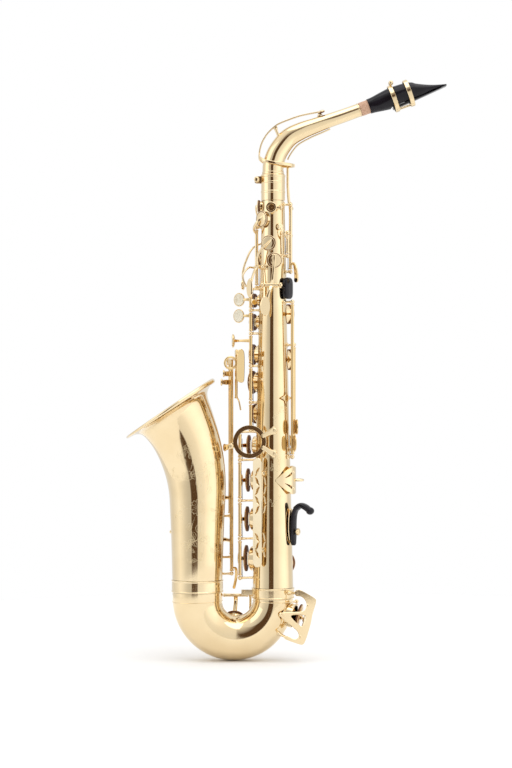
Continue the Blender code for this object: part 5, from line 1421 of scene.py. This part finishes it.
def bell_keys():
    opening = -TABLE_OPEN
    for name, rod_at, low, high, (height, _, cup), touch, bend in (
            ("low_Bb_key", BB_ROD, 170.0, 346.0, BELL_HOLES[1], 325.0, 22.5),
            ("low_B_key", B_ROD, 121.8, 338.0, BELL_HOLES[0], 335.0, 15.5)):
        x, y = rod_at
        out = Vector(Y)
        base = Vector((BELL_X, BELL_CHIMNEY_TOP + PAD_GAP, height))
        pivot = Vector((x, y, (low + high) / 2))
        node(name, [
            hinge_tube(rod_at, low, high, 2.1),
            bar([(x, y, height), (x - 4.5, y + 8.0, height), (x - 11.0, 40.2, height), (x - 20, 40.8, height),
                 (BELL_X, 40.2, height), (BELL_X - 7, 40.0, height)], [5.4, 4.6, 4.8, 5, 6, 4], 2.4, Z),
            bar([(x, y, touch), (x - 6.0, bend, touch), (x - 6.4, 8.0, touch), (x - 4.6, -3.0, touch),
                 (x - 2.6, -18.0, touch)], [6, 6, 6, 8, 8], 2.0, Z)], "gold", pivot=pivot, opening=opening)
        pad(name, base, out, cup, BODY_OF[name], pivot, opening, 4.6)
        NEEDLES.append(pipe([(x + 1.0, y - 2.6, high - 30), (x + 1.4, y - 2.8, high - 16),
                             (x + 2.0, y - 2.8, high - 4)], [0.3, 0.36, 0.42], 8, side=X, per=3))
    x, y = CS_ROD
    node("low_Cs_lever", [
        hinge_tube(CS_ROD, 102.8, 352.0, 2.0),
        ring((x - 1.0, -18.4, 347.4), (0.1, -1, 0), 6.6, 1.35, 56, 14, flat=0.8),
        bar([(x, y, 349.0), (x - 5.0, 0.0, 349.0), (x - 4.6, -17.0, 349.0)], [6, 7, 8], 2.0, Z, per=8),
        bar([(x, y, 107.0), (x + 5.0, y + 3, 105.0), (x + 5.0, y + 8, 94.0), (x + 2.5, y + 13, 82.0)],
            3.4, 2.0, X, per=8)], "gold", pivot=(x, y, 227.0))
    out = LOW_CS_OUT
    base = LOW_CS_CENTRE + out * (bow_radius(LOW_CS_ANGLE) + LOW_CS_CHIMNEY + PAD_GAP)
    pivot = Vector((-44.0, 34.5, 72.5))
    tube = cross_tube(pivot, X, 1.9, 2.3, (14.7, 14.6, 13.0, 12.7))
    node("low_Cs_key", [
        tube,
        bar([pivot, pivot + Vector((0, 1.5, -9)), base + out * 4.4, base + out * 4.2 + Vector((0, 3, -5))],
            [5.4, 4.8, 5.4, 4.0], 2.2, X)], pivot=pivot)
    pad("low_Cs_key", base, out, 13.2, BODY_OF["low_Cs_key"])
    x, y = GS_LEVER_ROD
    node("G_sharp_lever", [
        hinge_tube(GS_LEVER_ROD, 306.0, 362.0, 1.7),
        plate(rounded([(-4.4, -14), (-3.6, -18.5), (0, -20), (3.4, -18.5), (4.2, -10), (4.4, 8),
                       (3.4, 16.5), (0, 19.0), (-3.2, 16.5), (-4.4, 8)], 3), (-37.6, -20.2, 344.5),
              (1, 0.16, 0), Z, 1.8, edge=0.5),
        bar([(x, y, 358.0), (x - 1.0, -4.0, 358.6), (x - 0.2, -18.0, 359.6), (x + 1.2, -20.8, 359.8)],
            [5, 6, 6.5, 6.5], 2.0, Z, per=8),
        bar([(x, y, 308.0), (x + 3, y + 2, 303.0), (x + 5.0, y + 3.0, 293.0)], 3.2, 1.8, Y, per=8)],
         "gold", pivot=(x, y, 334.0))


def low_keys():
    base, out = cup_place("low_Eb")
    x, y = EB_ROD
    small_key("low_Eb", [
        hung_tube(EB_ROD, 94.8, 187.2, needle=9.0),
        bar([(x, y, 112.0), base + out * 5.4 + Vector((-4, 4, 0)), base + out * 4.6,
             base + out * 4.4 + Vector((4, -3, 0))],
            [5.4, 4.6, 5.0, 4.0], 2.2, Z),
        bar([(x, y, 184.0), (x - 6, y + 9.0, 184.0), (x - 20, y + 10.0, 184.0)], [6, 9, 9], 2.2, Z, per=8)],
        Vector((x, y, 141.0)), 4.6)
    x, y = LOW_C_LEVER_ROD
    node("low_C_lever", [
        hung_tube(LOW_C_LEVER_ROD, 100.8, 193.2, 1.6),
        bar([(x, y, 173.0), (x - 6, y + 5.5, 173.0), (x - 16, y + 5.5, 173.0)], [6, 8, 8], 2.2, Z, per=8)],
         "gold", pivot=(x, y, 146.0))
    x, y = LOW_C_ROD
    out = LOW_C_OUT
    base = LOW_C_CENTRE + out * (bow_radius(LOW_C_ANGLE) + LOW_C_CHIMNEY + 2 * PAD_GAP)
    pivot = Vector((x, y, 55.2))
    node("low_C_key", [
        hinge_tube(LOW_C_ROD, 46.8, 63.7),
        bar([(x, y, 55.2), base + out * 7.4 + Vector((0, 11, 0)), base + out * 4.6,
             base + out * 4.2 - Vector((0, 4, 0))],
            [5.4, 4.6, 5.4, 4.0], 2.2, Z)], "gold", pivot=pivot, opening=7.0)
    pad("low_C_key", base, out, 15.2, BODY_OF["low_C_key"], pivot, 7.0)


# ---- engraving: fine scrolls, leaves and flowers cut into the lacquer ----

def cut_line(surface, route, width):
    """A thin cut that swells and fades along a route of (across, along) pairs on a surface."""
    rows = spline([tuple(p) for p in route], 5)
    rings = []
    count = len(rows) - 1
    for i, (a, b) in enumerate(rows):
        p0 = Vector(rows[max(i - 1, 0)])
        p1 = Vector(rows[min(i + 1, count)])
        run = (p1 - p0).normalized()
        half = width * (0.25 + 0.75 * sin(pi * (i + 0.4) / (count + 0.8))) / 2
        left, right = (a - run.y * half, b + run.x * half), (a + run.y * half, b - run.x * half)
        rings.append([surface(*left, -0.05), surface(*right, -0.05), surface(*right, 0.045),
                      surface(*left, 0.045)])
    return skin(rings)


def bell_surface(across, along, lift):
    """`across` runs round the bell from its front in millimetres, `along` runs back from the rim."""
    centre, axis = bell_axis(along)
    reach = bell_radius(along)
    front = Vector((0, -1, 0))
    side = axis.cross(front)
    turn = across / reach
    return centre + (front * cos(turn) + side * sin(turn)) * (reach + lift)


def body_surface(across, along, lift):
    reach = body_radius(along)
    turn = across / reach
    return Vector((sin(turn) * (reach + lift), -cos(turn) * (reach + lift), along))


def polar(at, reach, turn):
    """The point at a distance and a heading from `at`."""
    return at[0] + reach * cos(turn), at[1] + reach * sin(turn)


def leaf(surface, at, heading, length, curl):
    """A pointed leaf with a curved spine and side cuts."""
    a, b = at
    lines = []
    for bulge in (-0.28, 0.28, 0.0):
        route = []
        for step in range(6):
            t = step / 5
            turn = heading + curl * t
            reach = length * t
            swell = bulge * length * sin(pi * t)
            route.append((a + reach * cos(turn) - swell * sin(turn),
                          b + reach * sin(turn) + swell * cos(turn)))
        lines.append(cut_line(surface, route, 0.42 if bulge else 0.26))
    for t in (0.3, 0.5, 0.7):
        turn = heading + curl * t
        spine = polar(at, length * t, turn)
        for side in (-1, 1):
            reach = 0.2 * length * sin(pi * t)
            lines.append(cut_line(surface, [spine, polar(spine, reach, turn + side * 0.8)], 0.22))
    return lines


def flower(surface, at, size):
    """A round bloom: a ring of notched petals about a hatched middle."""
    lines = []
    petals = 8
    half = pi / petals
    outline = ((0.3, -0.9), (0.72, -0.95), (1.0, -0.45), (0.9, 0.0), (1.0, 0.45), (0.72, 0.95), (0.3, 0.9))
    for i in range(petals):
        turn = 2 * pi * i / petals
        lines.append(cut_line(surface, [polar(at, size * r, turn + k * half) for r, k in outline], 0.42))
        lines.append(cut_line(surface, [polar(at, size * r, turn) for r in (0.34, 0.5, 0.66)], 0.24))
    for reach in (0.12, 0.26):
        lines.append(cut_line(surface, [polar(at, size * reach, radians(t)) for t in range(0, 361, 45)], 0.3))
    return lines


def scroll(surface, at, heading, length, curl):
    """A stem that winds up into a spiral, with leaves down its length."""
    route = [at]
    steps = 16
    turn = heading
    lines = []
    for i in range(steps):
        turn += curl * (0.25 + 2.0 * (i / steps) ** 2) / steps
        at = polar(at, length / steps * (1.15 - 0.6 * i / steps), turn)
        route.append(at)
        if i % 4 == 2:
            side = 1 if i % 8 == 2 else -1
            lines.extend(leaf(surface, at, turn + side * 0.9, length * 0.26, -side * 0.7))
    lines.append(cut_line(surface, route, 0.5))
    return lines


# name: (surface, flowers as (place, size), stems as (place, heading, length, curl))
ENGRAVINGS = {
    "bell_engraving": (
        bell_surface, (((2.0, 120.0), 9.5), ((-9.0, 82.0), 6.5), ((10.0, 158.0), 6.0)), (
            ((4.0, 130.0), 1.4, 46, 2.6), ((-2.0, 131.0), 2.0, 40, -2.8), ((2.0, 109.0), -1.8, 48, 2.6),
            ((6.0, 111.0), -0.9, 40, -2.6), ((12.0, 120.0), 0.1, 26, 3.4), ((-8.0, 121.0), 3.2, 28, -3.4),
            ((-8.0, 74.0), -2.0, 34, 2.8), ((-4.0, 76.0), -1.0, 30, -2.8), ((-16.0, 84.0), 3.3, 22, 3.2),
            ((9.0, 165.0), 1.7, 30, 2.6), ((14.0, 163.0), 0.9, 28, -3.0), ((3.0, 158.0), 3.0, 24, -3.2))),
    "body_engraving": (body_surface, (), (
        ((8.0, 222.0), 1.5, 26, 2.8), ((6.0, 200.0), -1.5, 24, -2.8), ((-2.0, 214.0), 2.6, 18, -3.0),
        ((3.0, 276.0), 1.6, 26, -2.6), ((-2.0, 234.0), -1.7, 18, 2.8))),
}


def engraving():
    for name, (surface, flowers, stems) in ENGRAVINGS.items():
        lines = []
        for at, size in flowers:
            lines += flower(surface, at, size)
        for stem in stems:
            lines += scroll(surface, *stem)
        piece(name, lines, "cut_line", "root")


# ---- the room ----

def studio():
    ground = bpy.data.meshes.new("floor")
    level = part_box("bow")[0][2] - 0.0011
    reach = 0.8
    edge = [(reach * cos(radians(a)), reach * sin(radians(a)), level) for a in range(0, 360, 5)]
    ground.from_pydata(edge, [], [tuple(range(len(edge)))])
    floor = bpy.data.objects.new("floor", ground)
    bpy.context.scene.collection.objects.link(floor)
    shader = Shader("pale_floor", Roughness=0.9, Specular_IOR_Level=0.1)
    tone = shader.noise(2.0)
    floor.data.materials.append(shader.set(Base_Color=shader.ramp(tone,
                                                                  ((0.0, (0.93, 0.93, 0.93)),
                                                                   (1.0, (0.96, 0.96, 0.96))))))

    world = bpy.data.worlds.new("studio")
    bpy.context.scene.world = world
    world.use_nodes = True
    room = Nodes(world.node_tree)
    way = room.add("SeparateXYZ", {0: room.add("TexCoord").outputs["Generated"]}).outputs
    flip = room.add("Math", {0: way["Y"], 1: -1.0}, operation="MULTIPLY").outputs[0]
    bearing = room.add("Math", {0: way["X"], 1: flip}, operation="ARCTAN2").outputs[0]
    share = room.add("MapRange", {"Value": bearing, "From Min": -pi, "From Max": pi}).outputs["Result"]
    walls = room.ramp(share, [((at + 180) / 360, STRIP if light is None else (light,) * 3)
                              for at, light in WALLS])
    lift = room.add("MapRange", {"Value": way["Z"], "From Min": -1.0}).outputs["Result"]
    rise = room.ramp(lift, [(at, (light,) * 3) for at, light in CEILING_RISE])
    lit = room.add("Mix", {"Factor": rise, "A": walls, "B": (CEILING, CEILING, CEILING, 1.0)},
                   data_type="RGBA")
    seen = room.add("LightPath").outputs["Is Camera Ray"]
    pick = room.add("Mix", {"Factor": seen, "A": lit.outputs["Result"], "B": (1.0, 1.0, 1.0, 1.0)},
                    data_type="RGBA")
    room.tree.links.new(pick.outputs["Result"], room.tree.nodes["Background"].inputs["Color"])

    for name, place_at, size, power in LAMPS:
        lamp = bpy.data.lights.new(name, "AREA")
        lamp.size = size
        lamp.energy = power
        light = bpy.data.objects.new(name, lamp)
        light.location = place_at
        light.rotation_euler = (-Vector(place_at)).to_track_quat("-Z", "Y").to_euler()
        bpy.context.scene.collection.objects.link(light)

    lens = bpy.data.cameras.new("camera")
    lens.lens = 100.0
    lens.sensor_fit = "VERTICAL"
    lens.sensor_height = 36.0
    camera = bpy.data.objects.new("camera", lens)
    camera.location = to_world(Vector((-19.9, -2496.0, 322.9)))
    camera.rotation_euler = (radians(90), 0, 0)
    bpy.context.scene.collection.objects.link(camera)
    bpy.context.scene.camera = camera
    bpy.context.scene.view_settings.view_transform = "Standard"


# the room's brightness round the horizon: (bearing in degrees, light), where None is the narrow dark strip
WALLS = ((-180, 0.85), (-124, 0.85), (-100, 1.0), (-82, 1.16), (-66, 1.02), (-51, 0.80), (-37, 0.67),
         (-25, 0.62), (-23.5, None), (2.0, None), (3.5, 0.9), (29, 1.05), (42, 1.25), (57, 1.4), (72, 1.45),
         (89, 1.3), (109, 0.85), (180, 0.85))
STRIP = (0.105, 0.059, 0.031)
CEILING = 1.05
# (share of the way from straight down to straight up, how much of the ceiling shows there)
CEILING_RISE = ((0.68, 0.0), (0.95, 1.0))
# (name, place in metres, size, power)
LAMPS = (("top_light", (0.25, -0.5, 2.4), 2.2, 18.0), ("side_light", (-2.2, -0.8, 1.2), 1.8, 5.0))

body_tube()
post_ribs()
side_key_guide()
neck_receiver()
thumb_screw("receiver_screw", RECEIVER_SCREW, (0, -1, 0), 1.15, 1.0, 10.6, 3.4, 3.4)
bow()
ferrules()
bell()
bell_brace()
strap_ring()
thumb_hook()
thumb_rest()
lyre_holder()
clothes_guard()
low_c_guard()
bell_key_guard()
neck()
neck_octave_key()
mouthpiece()
reed()
ligature()
stacks()
c_key_bumper()
palm_keys()
side_keys()
octave_keys()
bell_keys()
low_keys()
piece("pivot_screws", PIVOT_SCREWS, "lacquer", "root")
piece("needle_springs", NEEDLES, "steel", "root")
engraving()
studio()
